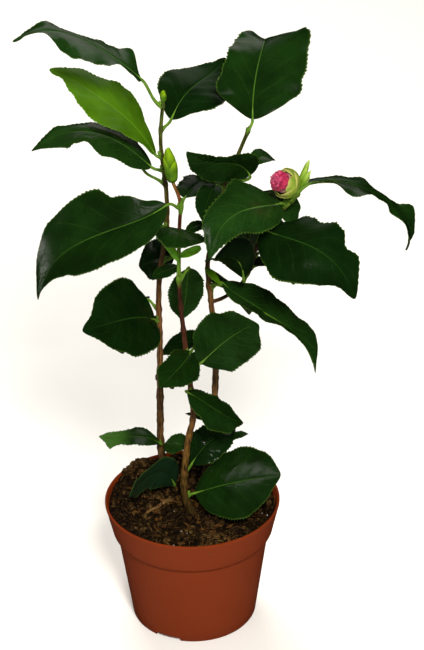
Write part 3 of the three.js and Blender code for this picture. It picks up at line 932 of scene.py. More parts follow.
@dataclass
class Leaf:
    """One leaf: a toothed, folded and arched blade on a stalk that grows from a stem.

    The blade's midrib, fold, twist and outline are the source's own rule, written again
    and carried on to teeth, a sunken rib, quilted skin between the veins and wavy margins.
    """

    name: str
    stem: Stem
    foot: Point
    tip: Point
    width: float
    arch: tuple[float, float]
    sway: tuple[float, float]
    roll: float
    twist: float
    fold: float
    curl: float
    widest: float
    skin: Skin = Skin.DARK
    turned: bool = False
    crease: float = 0.0
    margins: tuple[Marks, ...] = ()
    waves: tuple[Marks, ...] = ()
    tooth_pitch: float = 2.8
    tooth_depth: float = 1.3
    thickness: float = 0.5

    def __post_init__(self) -> None:
        """Works out the midrib curve and the leaf's own seed."""
        foot, tip = Vector(self.foot), Vector(self.tip)
        self.length = (tip - foot).length
        chord = (tip - foot) / self.length
        self.side = chord.cross(UP).normalized()
        lift = self.side.cross(chord)
        inner = [
            foot + (chord * share + lift * arch + self.side * sway) * self.length
            for share, arch, sway in zip((1 / 3, 2 / 3), self.arch, self.sway)
        ]
        self.midrib = Bezier((foot, inner[0], inner[1], tip))
        self.seed = sum(ord(c) * (i + 3) for i, c in enumerate(self.name)) % 997
        self.small = self.length < SMALL_LEAF_LENGTH

    def outline(self, t: float) -> float:
        """Gives the even outline of the blade.

        Args:
            t: share of the length.

        Returns:
            Half width there, as a share of the greatest half width.
        """
        b = 0.72
        a = b * self.widest / (1 - self.widest)
        peak = self.widest**a * (1 - self.widest) ** b
        taper = 1 - 0.3 * smoothstep(0.78, 0.95, t)
        return t**a * (1 - t) ** b / peak * taper

    def marked(self, marks: Marks, end: float, t: float) -> float:
        """Reads a margin's marks, which stand at every tenth of the length.

        Args:
            marks: the nine values between the leaf's ends.
            end: value at both ends.
            t: share of the length.

        Returns:
            The value there, eased from mark to mark.
        """
        marks = (end, *marks, end)
        i = min(int(t * 10), 9)
        return mix(marks[i], marks[i + 1], smoothstep(0, 1, t * 10 - i))

    def reach(self, t: float, hand: int) -> float:
        """Gives how far a margin stands in or out of the even outline.

        Args:
            t: share of the length.
            hand: the margin's hand, 0 or 1.

        Returns:
            The margin's half width, as a share of the even one.
        """
        if self.margins:
            return self.marked(self.margins[hand], 100, t) / 100
        return 1 + 0.05 * wobble(t * 5.3, hand * 3.1, self.seed)

    def wave(self, t: float, hand: int) -> float:
        """Height in mm by which the margin on one hand is bent up or down."""
        return self.marked(self.waves[hand], 0.0, t) if self.waves else 0.0

    def row(self, t: float) -> tuple[Vector, Vector, Vector, float]:
        """Lays out a row of the blade.

        Args:
            t: share of the length.

        Returns:
            Middle, sideways direction, upward direction and half width.
        """
        heading = self.midrib.heading(t)
        flat = square_to(self.side, heading)
        lift = flat.cross(heading)
        turn = math.radians(self.roll + self.twist * (t - 0.5))
        across = flat * math.cos(turn) + lift * math.sin(turn)
        normal = lift * math.cos(turn) - flat * math.sin(turn)
        return self.midrib.at(t), across, normal, self.width / 2 * self.outline(t)

    def tooth(self, t: float, edge: int) -> float:
        """Gives how far a tooth of the margin stands out.

        Args:
            t: share of the length.
            edge: the margin's hand, 0 or 1.

        Returns:
            The distance in mm.
        """
        beat = t * self.length / self.tooth_pitch
        share = beat % 1.0
        saw = share / 0.75 if share < 0.75 else (1 - share) / 0.25
        size = 0.7 + 0.8 * wobble(math.floor(beat) * 1.7, edge * 5.1, self.seed)
        fade = smoothstep(0.1, 0.24, t) * (1 - smoothstep(0.9, 0.98, t))
        return self.tooth_depth * (0.6 if self.small else 1.0) * size * fade * saw

    def relief(self, t: float, u: float, half: float) -> float:
        """Gives the skin's height over the smooth blade: groove, quilting and wavy margin.

        Args:
            t: share of the length.
            u: share of the way from the rib to the margin, below 0 on one hand.
            half: half width of the blade there.

        Returns:
            The height in mm.
        """
        side = abs(u)
        groove = -0.32 * math.exp(-((half * u / 0.75) ** 2)) * (1 - t * 0.6)
        beat = (t - 0.3 * side**0.8) * 7
        pillow = abs(math.sin(math.pi * beat)) ** 0.7 - 0.5
        quilt = 0.3 * min(half / 20, 1.1) * pillow * math.sin(math.pi * min(side * 1.08, 1.0)) ** 0.8
        hand = 1.0 if u > 0 else -1.0
        wave = math.sin(FULL_TURN * (t * 3.1 + self.seed * 0.37 + hand * 0.21))
        ripple = wobble(t * 9.0, hand * 2.3, self.seed * 1.3)
        margin = min(half / 20, 1.0) * (0.7 * wave + 1.6 * ripple) * side**3
        uneven = 0.9 * wobble(t * 2.4, u * 1.3, self.seed) * min(half / 14, 1.0)
        if self.skin is Skin.GLOSSY:
            uneven += 0.5 * wobble(t * 9.0, u * 4.0, self.seed)
        kink = 2.2 * (smoothstep(0.37, 0.395, t) - smoothstep(0.4, 0.62, t)) if self.crease else 0.0
        return groove + quilt + margin + uneven - self.crease * kink

    def stalk(self) -> Bezier:
        """Line of the stalk, from the middle of its stem's skin to the blade's foot.

        Returns:
            The line.
        """
        foot = Vector(self.foot)
        near = self.stem.at(foot.z).point
        reach = math.hypot(foot.x - near.x, foot.y - near.y)
        top = self.stem.axis[-1].z
        node = self.stem.at(min(foot.z - min(0.45 * reach, 8.0), top - 4))
        square = square_to(foot - node.point, node.heading)
        start = node.point + square * (node.radius + GAP)
        out = (square + node.heading * 0.7).normalized()
        end = self.midrib.at(0.005)
        pull = (end - start).length * 0.4
        first, second = self.midrib.points[:2]
        heading = (second - first).normalized()
        return Bezier((start, start + out * pull, end - heading * pull, end))

    def build(self) -> Piece:
        """Makes the blade, its two faces and its stalk as one piece.

        Returns:
            The leaf's piece.
        """
        columns = [(u, True) for u in (*(-c for c in reversed(UPPER_COLUMNS)), *UPPER_COLUMNS[1:])]
        columns += [(u, False) for u in (*reversed(LOWER_COLUMNS), *(-c for c in LOWER_COLUMNS[1:]))]
        columns.append(columns[0])
        last = len(columns) - 1
        rib_columns = 2 * len(UPPER_COLUMNS) - 1
        rows = max(24, round(self.length / self.tooth_pitch * 4))
        ts = [0.002 + 0.994 * j / rows for j in range(rows + 1)]
        frames = [self.row(t) for t in ts]
        fold = math.radians(self.fold)
        upper, lower = (-1.0, 1.0) if self.turned else (1.0, -1.0)

        def place(k: int, j: int) -> Vector:
            """Places a point of the blade.

            Args:
                k: the point's column.
                j: the point's row.

            Returns:
                The point.
            """
            middle, across, normal, half = frames[j]
            u, top = columns[k]
            side, hand, t = abs(u), int(u > 0), ts[j]
            half *= self.reach(t, hand)
            reach = half * u * math.cos(fold)
            if side > 0.97:
                reach += math.copysign(self.tooth(t, hand) * (1.0 if side == 1 else 0.3), u)
            lift = half * (side * math.sin(fold) - self.curl * u * u)
            lift += self.wave(t, hand) * u * u
            lift += upper * self.relief(t, u, half)
            thick = self.thickness * (1 - 0.45 * side) * min(1.0, half / 3 + 0.2)
            return middle + across * reach + normal * (lift + (upper if top else lower) * thick / 2)

        def texture(k: int, j: int) -> tuple[float, float]:
            """Place on the leaf's own pattern: across from margin to margin, then along."""
            return 0.5 + 0.5 * columns[k][0], ts[j]

        def face_slot(k: int, j: int) -> int:
            """Slot of the cuticle on the upper face, and of the underside below."""
            return 0 if k < rib_columns else 1

        bm = bmesh.new()
        sharp = (0, rib_columns - 1, rib_columns, last)
        weave(bm, last, rows, place, texture, face_slot, sharp)
        self.add_stalk(bm, lower)
        young = self.skin is Skin.YOUNG
        finishes = [self.skin.value, YOUNG_UNDERSIDE if young else UNDERSIDE, STALK_SKIN]
        return finish_piece(bm, self.name, finishes, [self.name])

    def add_stalk(self, bm: BMesh, lower: float) -> None:
        """Adds the stalk, which runs on under the blade as its rib.

        Args:
            bm: the leaf's mesh.
            lower: 1 or -1, the side of the blade that is its underside.
        """
        line = self.stalk()
        size = STALK_RADIUS * (0.7 if self.small else 1.0)
        steps = max(5, round((line.points[3] - line.points[0]).length / 1.6))
        centres = [line.at(k / steps) for k in range(steps)]
        out = (line.points[1] - line.points[0]).normalized()
        centres.insert(0, centres[0] - out * (GAP + 0.9))
        radii = [size * (1.25 - 0.35 * smoothstep(0, 0.35, k / steps)) for k in range(steps)]
        radii.insert(0, radii[0] * 1.1)
        rib_steps = 14 if self.small else 26
        for k in range(1, rib_steps + 1):
            t = 0.93 * k / rib_steps
            middle, _, normal, half = self.row(t)
            radius = mix(size * 0.86, 0.22, (k / rib_steps) ** 0.7)
            radius = min(radius, 0.25 + half * 0.2)
            sunk = mix(0.25, 0.95, smoothstep(0.0, 0.16, t))
            centres.append(middle + normal * lower * (self.thickness * 0.5 + radius * sunk))
            radii.append(radius)
        tube(bm, centres, radii, 8, slot=2)


# Flower bud, growth buds


@dataclass
class Bud:
    """Pointed bud of overlapping scales round a core, along a line from foot to tip."""

    foot: Vector
    tip: Vector
    radius: float
    scales: int = 6
    turn: float = 0.0
    across: int = 10
    along: int = 12

    def girth(self, t: float) -> float:
        """Radius of the bud at a share of its length."""
        return self.radius * max(0.05, math.sin(math.pi * (0.12 + 0.86 * t**0.95)) ** 0.62)

    def add_to(self, bm: BMesh, slot: int = 0, steps: int = 16) -> None:
        """Adds the core, and scales that hug it with their points a little free.

        Args:
            bm: mesh that takes the bud.
            slot: the bud's material slot.
            steps: rows of the core.
        """
        axis = self.tip - self.foot
        heading = axis.normalized()
        side = square_to(Vector((1, 0.2, 0.1)), heading)
        up = heading.cross(side)
        centres = [self.foot + axis * (k / steps) for k in range(steps + 1)]
        tube(bm, centres, [self.girth(k / steps) * 0.93 for k in range(steps + 1)], 14, slot)
        for i in range(self.scales):
            share = (i + 1) / self.scales
            middle = self.turn + i * math.radians(130)

            def place(p: float, q: float) -> Vector:
                """Places a point of the scale's outer face.

                Args:
                    p: place across, from -1 to 1.
                    q: place along, from 0 to 1.

                Returns:
                    The point.
                """
                t = mix(0.04 * share, mix(1.03, 0.62, share**2), q)
                wide = math.radians(84) * max(0.02, (1 - q**2.6)) ** 0.6
                angle = middle + p * wide
                layer = 0.05 + 0.6 * share
                loose = (0.03 + 0.06 * (1 - p * p) * q**4 + layer * 0.3) * self.radius
                out = side * math.cos(angle) + up * math.sin(angle)
                return self.foot + axis * t + out * (self.girth(min(t, 1.0)) + loose)

            sheet(bm, self.across, self.along, place, 0.05 * self.radius + 0.1, slot)


@dataclass
class FlowerBud:
    """Opening flower bud: crumpled petals in a cup of pale scales, with two leaf buds."""

    branch: Stem
    centre: Point = (67.2, -5.0, 355.2)
    axis: Point = (-0.64, -0.59, 0.49)
    radius: float = 10.2
    core_radius: float = 7.2
    petals: int = 22
    scales: int = 9
    leaf_bud_foot: Point = (75.6, -2.0, 346.0)
    leaf_bud_tips: tuple[Point, ...] = ((83.4, -1.0, 369.7), (84.2, -7.0, 364.5))
    leaf_bud_radius: float = 2.1

    def build(self) -> list[Piece]:
        """Makes the petals, and the scales with the stalk and leaf buds.

        Returns:
            The two pieces.
        """
        heading = Vector(self.axis).normalized()
        side = square_to(UP, heading)
        centre = Vector(self.centre)
        turn = Matrix((side, heading.cross(side), heading)).transposed().to_4x4()
        petals, green = bmesh.new(), bmesh.new()
        for bm, count, add in ((petals, self.petals, self.add_petal), (green, self.scales, self.add_scale)):
            for i in range(count):
                add(bm, i, i / (count - 1))
            bmesh.ops.transform(bm, matrix=Matrix.Translation(centre) @ turn, verts=bm.verts[:])
        bloom = finish_piece(petals, "flower_petals", [PetalTissue("petal_tissue")])

        back = centre - heading * self.radius
        tip = self.branch.axis[-1]
        along = (tip - self.branch.axis[-2]).normalized()
        line = [tip - along * 0.8, tip + along * 1.5, tip.lerp(back, 0.6), back.lerp(centre, 0.3)]
        path = smooth_path(line, 4)
        tube(green, path, [mix(1.25, 3.4, (k / (len(path) - 1)) ** 2) for k in range(len(path))], 12)
        for i, end in enumerate(self.leaf_bud_tips):
            bud = Bud(Vector(self.leaf_bud_foot), Vector(end), self.leaf_bud_radius, 4, 1.3 * i)
            bud.add_to(green, slot=1)
        core = [centre + heading * (9.0 * k / 12 - 4.2) for k in range(13)]
        girths = [self.core_radius * math.sqrt(max(0.02, 1 - (k / 6.2 - 1) ** 2)) for k in range(13)]
        tube(green, core, girths, 20, slot=2)
        finishes = [
            GreenSkin("flower_scale_skin", "7a8c2c", "587220", 0.5, tip="a3a058", tip_start=0.8),
            GreenSkin("leaf_bud_skin", "6f9422", "4d7416", 0.45, tip="93b048"),
            GreenSkin("petal_base_skin", "b98a88", "a0685c", 0.5),
        ]
        cup = finish_piece(green, "flower_scales", finishes, ["flower_bud"])
        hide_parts("flower_bud")
        return [bloom, cup]

    def on_ball(self, flat: float, angle: float, rise: float) -> Vector:
        """Point of the bud's ball, at a distance from its axis, an angle round it and a height."""
        return Vector((flat * math.cos(angle), flat * math.sin(angle), rise))

    def add_petal(self, bm: BMesh, index: int, share: float) -> None:
        """Adds one crumpled petal, wrapped round the bud with a ruffled lip.

        Args:
            bm: mesh that takes the petal.
            index: the petal's number.
            share: 0 for the outermost petal, 1 for the innermost.
        """
        base = mix(7.2, 5.6, share) + 0.5 * wobble(index * 1.9, 0.3, 0.7)
        low, high = math.radians(mix(130, 70, share)), math.radians(mix(46, 4, share))

        def place(p: float, q: float) -> Vector:
            """Places a point of the sheet on the bud's ball.

            Args:
                p: place across, from -1 to 1.
                q: place along, from 0 to 1.

            Returns:
                The point.
            """
            polar = mix(low, high, q)
            ruffle = wobble(p * 2.3, q * 1.5, index * 3.3)
            lip = smoothstep(0.5, 1.0, q)
            angle = index * GOLDEN_ANGLE + p * math.radians(mix(40, 62, q)) + ruffle * 0.16
            radius = base * (1 - 0.05 * p * p) + ruffle * 2.0 * (0.25 + lip) - lip * lip * 0.7
            rise = 5.6 + math.cos(polar) * (6.6 + ruffle * 2.0 * lip - share * 0.4)
            return self.on_ball(math.sin(polar) * radius, angle, rise)

        sheet(bm, 16, 14, place, 0.25)

    def add_scale(self, bm: BMesh, index: int, share: float) -> None:
        """Adds one round scale of the cup that holds the petals.

        Args:
            bm: mesh that takes the scale.
            index: the scale's number.
            share: 0 for the outermost scale, 1 for the innermost.
        """
        middle = index * GOLDEN_ANGLE + 0.5
        low, high = math.radians(176), math.radians(mix(96, 43, share))
        base = self.radius * mix(1.07, 0.99, share)

        def place(p: float, q: float) -> Vector:
            """Places a point of the sheet on the bud's ball.

            Args:
                p: place across, from -1 to 1.
                q: place along, from 0 to 1.

            Returns:
                The point.
            """
            polar = mix(low, high, q)
            wide = math.radians(66) * max(0.03, 1 - q**4) ** 0.5
            ruffle = wobble(p * 1.4, q * 1.4, index * 2.7)
            radius = base + 0.25 * ruffle - 2.2 * smoothstep(0.55, 1.0, q) * share
            return self.on_ball(math.sin(polar) * radius, middle + p * wide, math.cos(polar) * radius)

        sheet(bm, 14, 14, place, 0.4)


@dataclass
class TopBuds:
    """Fat growth bud on the middle stem, small one on the left stem, and the axil buds."""

    left: Stem
    middle: Stem
    leaves: Sequence[Leaf]
    bracts: tuple[tuple[Point, Point], ...] = (
        ((-5.2, -6.0, 302.0), (9.5, -14.5, 312.5)),
        ((-5.7, -7.0, 299.0), (-15.1, -10.5, 316.0)),
    )

    def on_tip(self, stem: Stem, length: float, radius: float) -> tuple[Vector, Vector]:
        """Finds the foot and tip of a bud that goes on from a stem, by the source's rule.

        Args:
            stem: the stem that ends in the bud.
            length: the bud's length.
            radius: the bud's radius.

        Returns:
            Foot and tip.
        """
        tip = stem.axis[-1]
        lean = (tip - stem.axis[-2]).normalized()
        rise = Vector((lean.x * 0.3, lean.y * 0.3, 1)).normalized()
        foot = tip + lean * (GAP + 0.4 * radius * lean.angle(rise))
        return foot - lean * 0.9, foot + rise * length

    def build(self) -> list[Piece]:
        """Makes the two buds on the stem tips, the small axil buds and the bracts.

        Returns:
            The four pieces.
        """
        skin = GreenSkin("growth_bud_skin", "4b7209", "2f5006", 0.45, streak=220.0, tip="72940f")
        pieces = []
        for name, stem, length, radius, scales in (
            ("growth_bud", self.middle, 24.0, 3.9, 6),
            ("tip_bud", self.left, 7.0, 1.9, 4),
        ):
            bm = bmesh.new()
            Bud(*self.on_tip(stem, length, radius), radius, scales, 0.4).add_to(bm)
            pieces.append(finish_piece(bm, name, [skin], [name]))
        bm = bmesh.new()
        rng = random.Random(11)
        for leaf in self.leaves:
            line = leaf.stalk()
            out = (line.points[1] - line.points[0]).normalized()
            start = line.points[0] - out * 0.9 + Vector((0, 0, 1.6))
            long = rng.uniform(2.4, 4.2) * (0.7 if leaf.small else 1.0)
            end = start + (out * 0.75 + UP).normalized() * long
            Bud(start, end, long * 0.3, 2, rng.uniform(0, 6), across=4, along=5).add_to(bm)
        middle = self.middle.at(333).point
        Bud(middle, middle + Vector((1.5, -1.0, 13.0)), 1.5, 3, 1.0).add_to(bm)
        skin = GreenSkin("axil_bud_skin", "5f8428", "40611a")
        pieces.append(finish_piece(bm, "axil_buds", [skin]))
        bm = bmesh.new()
        for start, end in self.bracts:
            self.add_bract(bm, Vector(start), Vector(end))
        skin = GreenSkin("bract_skin", "639f1c", "4a8412", 0.4)
        return [*pieces, finish_piece(bm, "stem_bracts", [skin])]

    def add_bract(self, bm: BMesh, start: Vector, end: Vector) -> None:
        """Adds one flat green bract at the top of the middle stem's green length.

        Args:
            bm: mesh that takes the bract.
            start: its foot.
            end: its tip.
        """
        heading = (end - start).normalized()
        wide = square_to(Vector((0.0, 0.3, 1.0)), heading)
        face = wide.cross(heading)

        def place(p: float, q: float) -> Vector:
            """Places a point of the bract's face.

            Args:
                p: place across, from -1 to 1.
                q: place along, from 0 to 1.

            Returns:
                The point.
            """
            half = 3.0 * min(1.0, 0.4 + q * 2.0) * max(0.3, 1 - q**8) ** 0.5
            bow = 1.3 * math.sin(math.pi * q)
            return start.lerp(end, q) + wide * (p * half) + face * (bow - 0.7 * p * p)

        sheet(bm, 6, 12, place, 0.6)


# Compost


@dataclass(frozen=True)
class Lumps:
    """Lumps of one kind that lie on the compost, with their sizes in mm and their finish."""

    name: str
    seed: int
    count: int
    least: float
    most: float
    rise: float
    rough: float
    finish: Peat
    spread: float = 0.97
    large_share: float = 0.0
    heaped: bool = False


CRUMBS = Lumps(
    "compost_crumbs", 5, 1500, 0.6, 1.5, 0.3, 0.35,
    Peat("peat_crumbs", dark="0c0704", middle="1e1409", pale="4b381d", scale=600.0), large_share=0.13,
)
CLODS = Lumps(
    "compost_clods", 41, 230, 1.3, 3.4, 0.1, 0.55,
    Peat("peat_clods", dark="160e07", middle="352512", pale="66502c", scale=380.0), 0.95, heaped=True,
)
PERLITE = Lumps(
    "compost_perlite", 23, 16, 0.35, 0.7, 0.8, 0.3,
    Peat("perlite_grains", dark="8a8478", middle="b5afa4", pale="d5d0c6", scale=900.0),
)
BARK_CHIPS = Peat("bark_chips", dark="24160a", middle="482e13", pale="74552a", scale=380.0)
STRAW = Peat("straw_fibres", dark="3a2a16", middle="5c4426", pale="8a6f44", scale=500.0)


@dataclass
class Compost:
    """Peat compost in the pot: uneven ground, crumbs, chips, white grains and fibres."""

    edge: float = 62.0
    level: float = 94.0
    cells: int = 150
    mound: tuple[float, float, float, float] = (-45.0, 42.0, 13.0, 11.0)
    rim_gap: float = 0.4
    wall: Sequence[tuple[float, float]] = ((61, 88), (57.2, 76), (54.2, 71.5), (45.2, 7), (43.9, 5.3))
    chips: int = 150
    fibres: int = 150
    tuft: tuple[float, float, int] = (14.0, -47.0, 90)
    hanging: int = 14
    root: tuple[Point, ...] = (
        (-37, -21, 0.8), (-32, -16, 2.2), (-26, -11, 2.4), (-20, -6, 2.8), (-15, -2, 1.2)
    )

    def ground(self, x: float, y: float) -> float:
        """Gives the height of the compost over a place in the pot.

        Args:
            x: the place's distance to the right of the pot's middle.
            y: its distance behind the middle.

        Returns:
            The height above the pot's foot.
        """
        far = math.hypot(x, y)
        rough = noise.fractal(Vector((x / 9, y / 9, 3.7)), 0.9, 2.1, 4)
        fine = wobble(x / 1.9, y / 1.9, 9.1)
        mx, my, wide, tall = self.mound
        heap = tall * math.exp(-((x - mx) ** 2 + (y - my) ** 2) / (wide * wide))
        clump = 2.6 * math.exp(-((x + 3) ** 2 + (y - 8) ** 2) / 26.0**2)
        back = 3.4 * smoothstep(-30, 50, 0.75 * y - 0.65 * x)
        height = self.level - 0.8 + rough * 3.2 + fine * 1.0 + heap + clump + back
        most = self.level + 5.0 - self.rim_gap + 12 * (1 - smoothstep(self.edge - 10, self.edge, far))
        return min(height - 1.2 * smoothstep(self.edge - 5, self.edge, far), most)

    def build(self) -> list[Piece]:
        """Makes the ground and everything that lies on it.

        Returns:
            The compost's pieces.
        """
        pieces = [self.build_ground(), self.build_lumps(CRUMBS), self.build_lumps(CLODS)]
        return [*pieces, self.build_chips(), self.build_lumps(PERLITE), self.build_fibres()]

    def build_ground(self) -> Piece:
        """Makes the body of compost, rough on top and shaped by the pot below.

        Returns:
            The ground's piece.
        """
        bm = bmesh.new()
        bmesh.ops.create_grid(bm, x_segments=self.cells, y_segments=self.cells, size=1.0, calc_uvs=False)
        for vert in bm.verts:
            x, y = vert.co.x, vert.co.y
            x, y = x * math.sqrt(1 - y * y / 2), y * math.sqrt(1 - x * x / 2)
            x, y = x * self.edge, y * self.edge
            vert.co = (x, y, self.ground(x, y))
        rim = [edge for edge in bm.edges if edge.is_boundary]
        for radius, height in self.wall:
            grown = bmesh.ops.extrude_edge_only(bm, edges=rim)["geom"]
            rim = [edge for edge in grown if isinstance(edge, bmesh.types.BMEdge)]
            for vert in [item for item in grown if isinstance(item, bmesh.types.BMVert)]:
                far = math.hypot(vert.co.x, vert.co.y)
                vert.co = (vert.co.x * radius / far, vert.co.y * radius / far, height)
        bmesh.ops.edgeloop_fill(bm, edges=rim)
        for face in bm.faces:
            face.smooth = True
        return finish_piece(bm, "compost", [Peat("peat_ground")], ["compost"])

    def spot(self, rng: random.Random, spread: float = 0.97) -> tuple[float, float]:
        """Picks a place on the compost, clear of its very edge.

        Args:
            rng: seeded source of the place.
            spread: share of the compost's radius that is used.

        Returns:
            The place across and back.
        """
        far = self.edge * spread * math.sqrt(rng.random())
        angle = rng.uniform(0, FULL_TURN)
        return far * math.cos(angle), far * math.sin(angle)

    def build_lumps(self, kind: Lumps) -> Piece:
        """Makes the uneven lumps of one kind.

        Args:
            kind: which lumps, how many, and how large.

        Returns:
            Their piece.
        """
        rng = random.Random(kind.seed)
        bm = bmesh.new()
        mx, my, wide, _ = self.mound
        for i in range(kind.count):
            x, y = self.spot(rng, kind.spread)
            if kind.heaped and i % 4 == 0:
                x, y = mx + rng.gauss(0, wide * 0.4), my + rng.gauss(0, wide * 0.4)
                far = max(math.hypot(x, y) / (self.edge - 3), 1)
                x, y = x / far, y / far
            size = rng.uniform(kind.least, kind.most)
            if kind.large_share and rng.random() < kind.large_share:
                size *= 1.9
            centre = Vector((x, y, self.ground(x, y) + size * kind.rise))
            verts = bmesh.ops.create_icosphere(bm, subdivisions=1, radius=1.0)["verts"]
            stretch = Vector([rng.uniform(0.6, 1.3) for _ in range(3)])
            turn = Matrix.Rotation(rng.uniform(0, 6.3), 3, "Z")
            turn = turn @ Matrix.Rotation(rng.uniform(0, 6.3), 3, "X")
            for vert in verts:
                own = 1 + kind.rough * noise.noise(vert.co * 1.7 + centre)
                shaped = Vector([a * b for a, b in zip(vert.co, stretch)])
                vert.co = centre + turn @ shaped * (size * own)
        return finish_piece(bm, kind.name, [kind.finish])

    def build_chips(self) -> Piece:
        """Makes red-brown bark chips, 3 to 8 mm long, that lie at odd angles.

        Returns:
            Their piece.
        """
        rng = random.Random(17)
        bm = bmesh.new()
        for _ in range(self.chips):
            x, y = self.spot(rng)
            verts = bmesh.ops.create_cube(bm, size=1.0)["verts"]
            edges = list({edge for vert in verts for edge in vert.link_edges})
            bevelled = bevel(bm, edges, 0.12, 1)
            scale = Vector((rng.uniform(3, 8), rng.uniform(1.4, 3.4), rng.uniform(0.5, 1.2)))
            turn = (
                Matrix.Rotation(rng.uniform(0, 6.3), 3, "Z")
                @ Matrix.Rotation(rng.gauss(0, 0.35), 3, "X")
                @ Matrix.Rotation(rng.gauss(0, 0.3), 3, "Y")
            )
            centre = Vector((x * 0.94, y * 0.94, self.ground(x, y) + 0.7))
            for vert in {*[v for v in verts if v.is_valid], *bevelled}:
                bend = 1 + 0.3 * noise.noise(vert.co * 2 + centre)
                shaped = Vector([a * b for a, b in zip(vert.co, scale)])
                vert.co = centre + turn @ shaped * bend
        return finish_piece(bm, "compost_bark_chips", [BARK_CHIPS])

    def build_fibres(self) -> Piece:
        """Makes straw-coloured fibres, a few of which hang over the rim, and a pale root.

        Returns:
            Their piece.
        """
        rng = random.Random(31)
        bm = bmesh.new()
        tx, ty, strands = self.tuft
        for i in range(self.fibres + strands):
            hangs = i < self.hanging
            x, y = self.spot(rng, 0.99)
            if i >= self.fibres:
                x, y = rng.gauss(tx, 6.0), rng.gauss(ty, 3.2)
            if hangs:
                angle = rng.gauss(-1.45, 0.14)
                far = self.edge * rng.uniform(0.97, 1.0)
                x, y = far * math.cos(angle), far * math.sin(angle)
            long = rng.uniform(3, 10)
            angle = rng.uniform(0, FULL_TURN)
            bow = rng.uniform(-0.22, 0.22)
            lift = rng.uniform(0.1, 1.1) + (2.2 if hangs else 0)
            points = []
            for k in range(5):
                s = k / 4 - 0.5
                px = x + long * (s * math.cos(angle) - bow * s * s * math.sin(angle) * 2)
                py = y + long * (s * math.sin(angle) + bow * s * s * math.cos(angle) * 2)
                far = math.hypot(px, py)
                most = 66.0 if hangs else self.edge
                px, py = px * min(1, most / far), py * min(1, most / far)
                rise = lift * (1 - 4 * s * s) + rng.uniform(-0.2, 0.4)
                ground = self.ground(px * min(1, 60 / far), py * min(1, 60 / far))
                points.append(Vector((px, py, ground + 0.5 + rise)))
            tube(bm, smooth_path(points, 2), [rng.uniform(0.1, 0.22)] * 9, 4)
        path = smooth_path([Vector((x, y, self.ground(x, y) + z)) for x, y, z in self.root], 5)
        tube(bm, path, [mix(0.9, 1.7, k / (len(path) - 1)) for k in range(len(path))], 8)
        return finish_piece(bm, "compost_fibres", [STRAW])


# Pot


@dataclass
class NurseryPot:
    """Round moulded pot with a deep collar, a rolled rim and three notches in its foot."""

    height: float = 99.0
    rim: float = 65.0
    collar_foot: tuple[float, float] = (60.0, 75.0)
    wall_top: tuple[float, float] = (56.4, 70.0)
    foot: float = 47.0
    wall: float = 1.8
    floor: float = 5.0
    notches: int = 3
    first_notch: float = -116.0
    notch_size: Point = (10.0, 20.0, 6.8)
    turns: int = 144

    def profile(self) -> list[tuple[float, float]]:
        """Draws the wall's section, from the foot's middle up, over and in.

        Returns:
            Radius and height of each of its points.
        """
        cx, cz = self.collar_foot
        wx, wz = self.wall_top
        foot, rim, top, w = self.foot, self.rim, self.height, self.wall
        outer = [(0.0, 0.0), (foot - 1.4, 0.0), (foot - 0.4, 0.25), (foot, 1.0)]
        outer += [(mix(foot, wx, k / 7), mix(1.0, wz, k / 7)) for k in range(1, 7)]
        outer += [(wx, wz), (wx + 0.1, wz + 0.7), (wx + 0.7, wz + 1.4)]
        outer += [(cx - 1.4, cz - 2.0), (cx - 0.5, cz - 1.1), (cx, cz)]
        outer += [(mix(cx, rim - 0.35, k / 5), mix(cz, top - 3.0, k / 5)) for k in range(1, 5)]
        outer += [(rim - 0.35, top - 3.0), (rim, top - 1.9), (rim, top - 0.8), (rim - 0.35, top - 0.2)]
        outer += [(rim - 0.9, top), (rim - w + 0.5, top - 0.15), (rim - w, top - 0.9)]
        outer += [(cx - w, cz + 0.5), (wx - w, wz + 1.5), (foot - w + 0.6, self.floor + 1.5)]
        return [*outer, (foot - w - 0.8, self.floor), (0.0, self.floor)]

    def build(self) -> Piece:
        """Spins the section round, cuts the notches and rounds their edges.

        Returns:
            The pot's piece.
        """
        bm = bmesh.new()
        verts = [bm.verts.new((radius, 0.0, height)) for radius, height in self.profile()]
        edges = [bm.edges.new(pair) for pair in zip(verts, verts[1:])]
        bmesh.ops.spin(
            bm,
            geom=[*verts, *edges],
            cent=(0, 0, 0),
            axis=(0, 0, 1),
            angle=FULL_TURN,
            steps=self.turns,
            use_merge=True,
        )
        bmesh.ops.remove_doubles(bm, verts=bm.verts[:], dist=1e-4)
        for face in bm.faces:
            face.smooth = True
        bmesh.ops.recalc_face_normals(bm, faces=bm.faces[:])
        cutter = bmesh.new()
        for i in range(self.notches):
            angle = math.radians(self.first_notch + 360 / self.notches * i)
            turn = Matrix.Rotation(angle, 4, "Z") @ Matrix.Translation((self.foot, 0, 0))
            bmesh.ops.create_cube(cutter, size=1.0, matrix=turn @ Matrix.Diagonal((*self.notch_size, 1.0)))
        bevel(cutter, cutter.edges[:], 0.8, 3)
        plastic = MouldedPolypropylene("moulded_polypropylene")
        return finish_piece(self.subtract(bm, cutter), "pot", [plastic], ["pot"])

    def subtract(self, body: BMesh, cutter: BMesh) -> BMesh:
        """Cuts one mesh out of another.

        Args:
            body: mesh that is kept.
            cutter: mesh whose space is taken out.

        Returns:
            The cut mesh.
        """
        helpers = [scene_object(name, bm) for name, bm in (("pot_body", body), ("pot_cutter", cutter))]
        cut = helpers[0].modifiers.new("notches", "BOOLEAN")
        cut.operation = "DIFFERENCE"
        cut.solver = "EXACT"
        cut.object = helpers[1]
        graph = bpy.context.evaluated_depsgraph_get()
        result = bmesh.new()
        result.from_mesh(helpers[0].evaluated_get(graph).to_mesh())
        for helper in helpers:
            mesh = helper.data
            bpy.data.objects.remove(helper)
            bpy.data.meshes.remove(mesh)
        for edge in result.edges:
            edge.smooth = edge.calc_face_angle(0.0) < math.radians(40)
        return result


# Studio


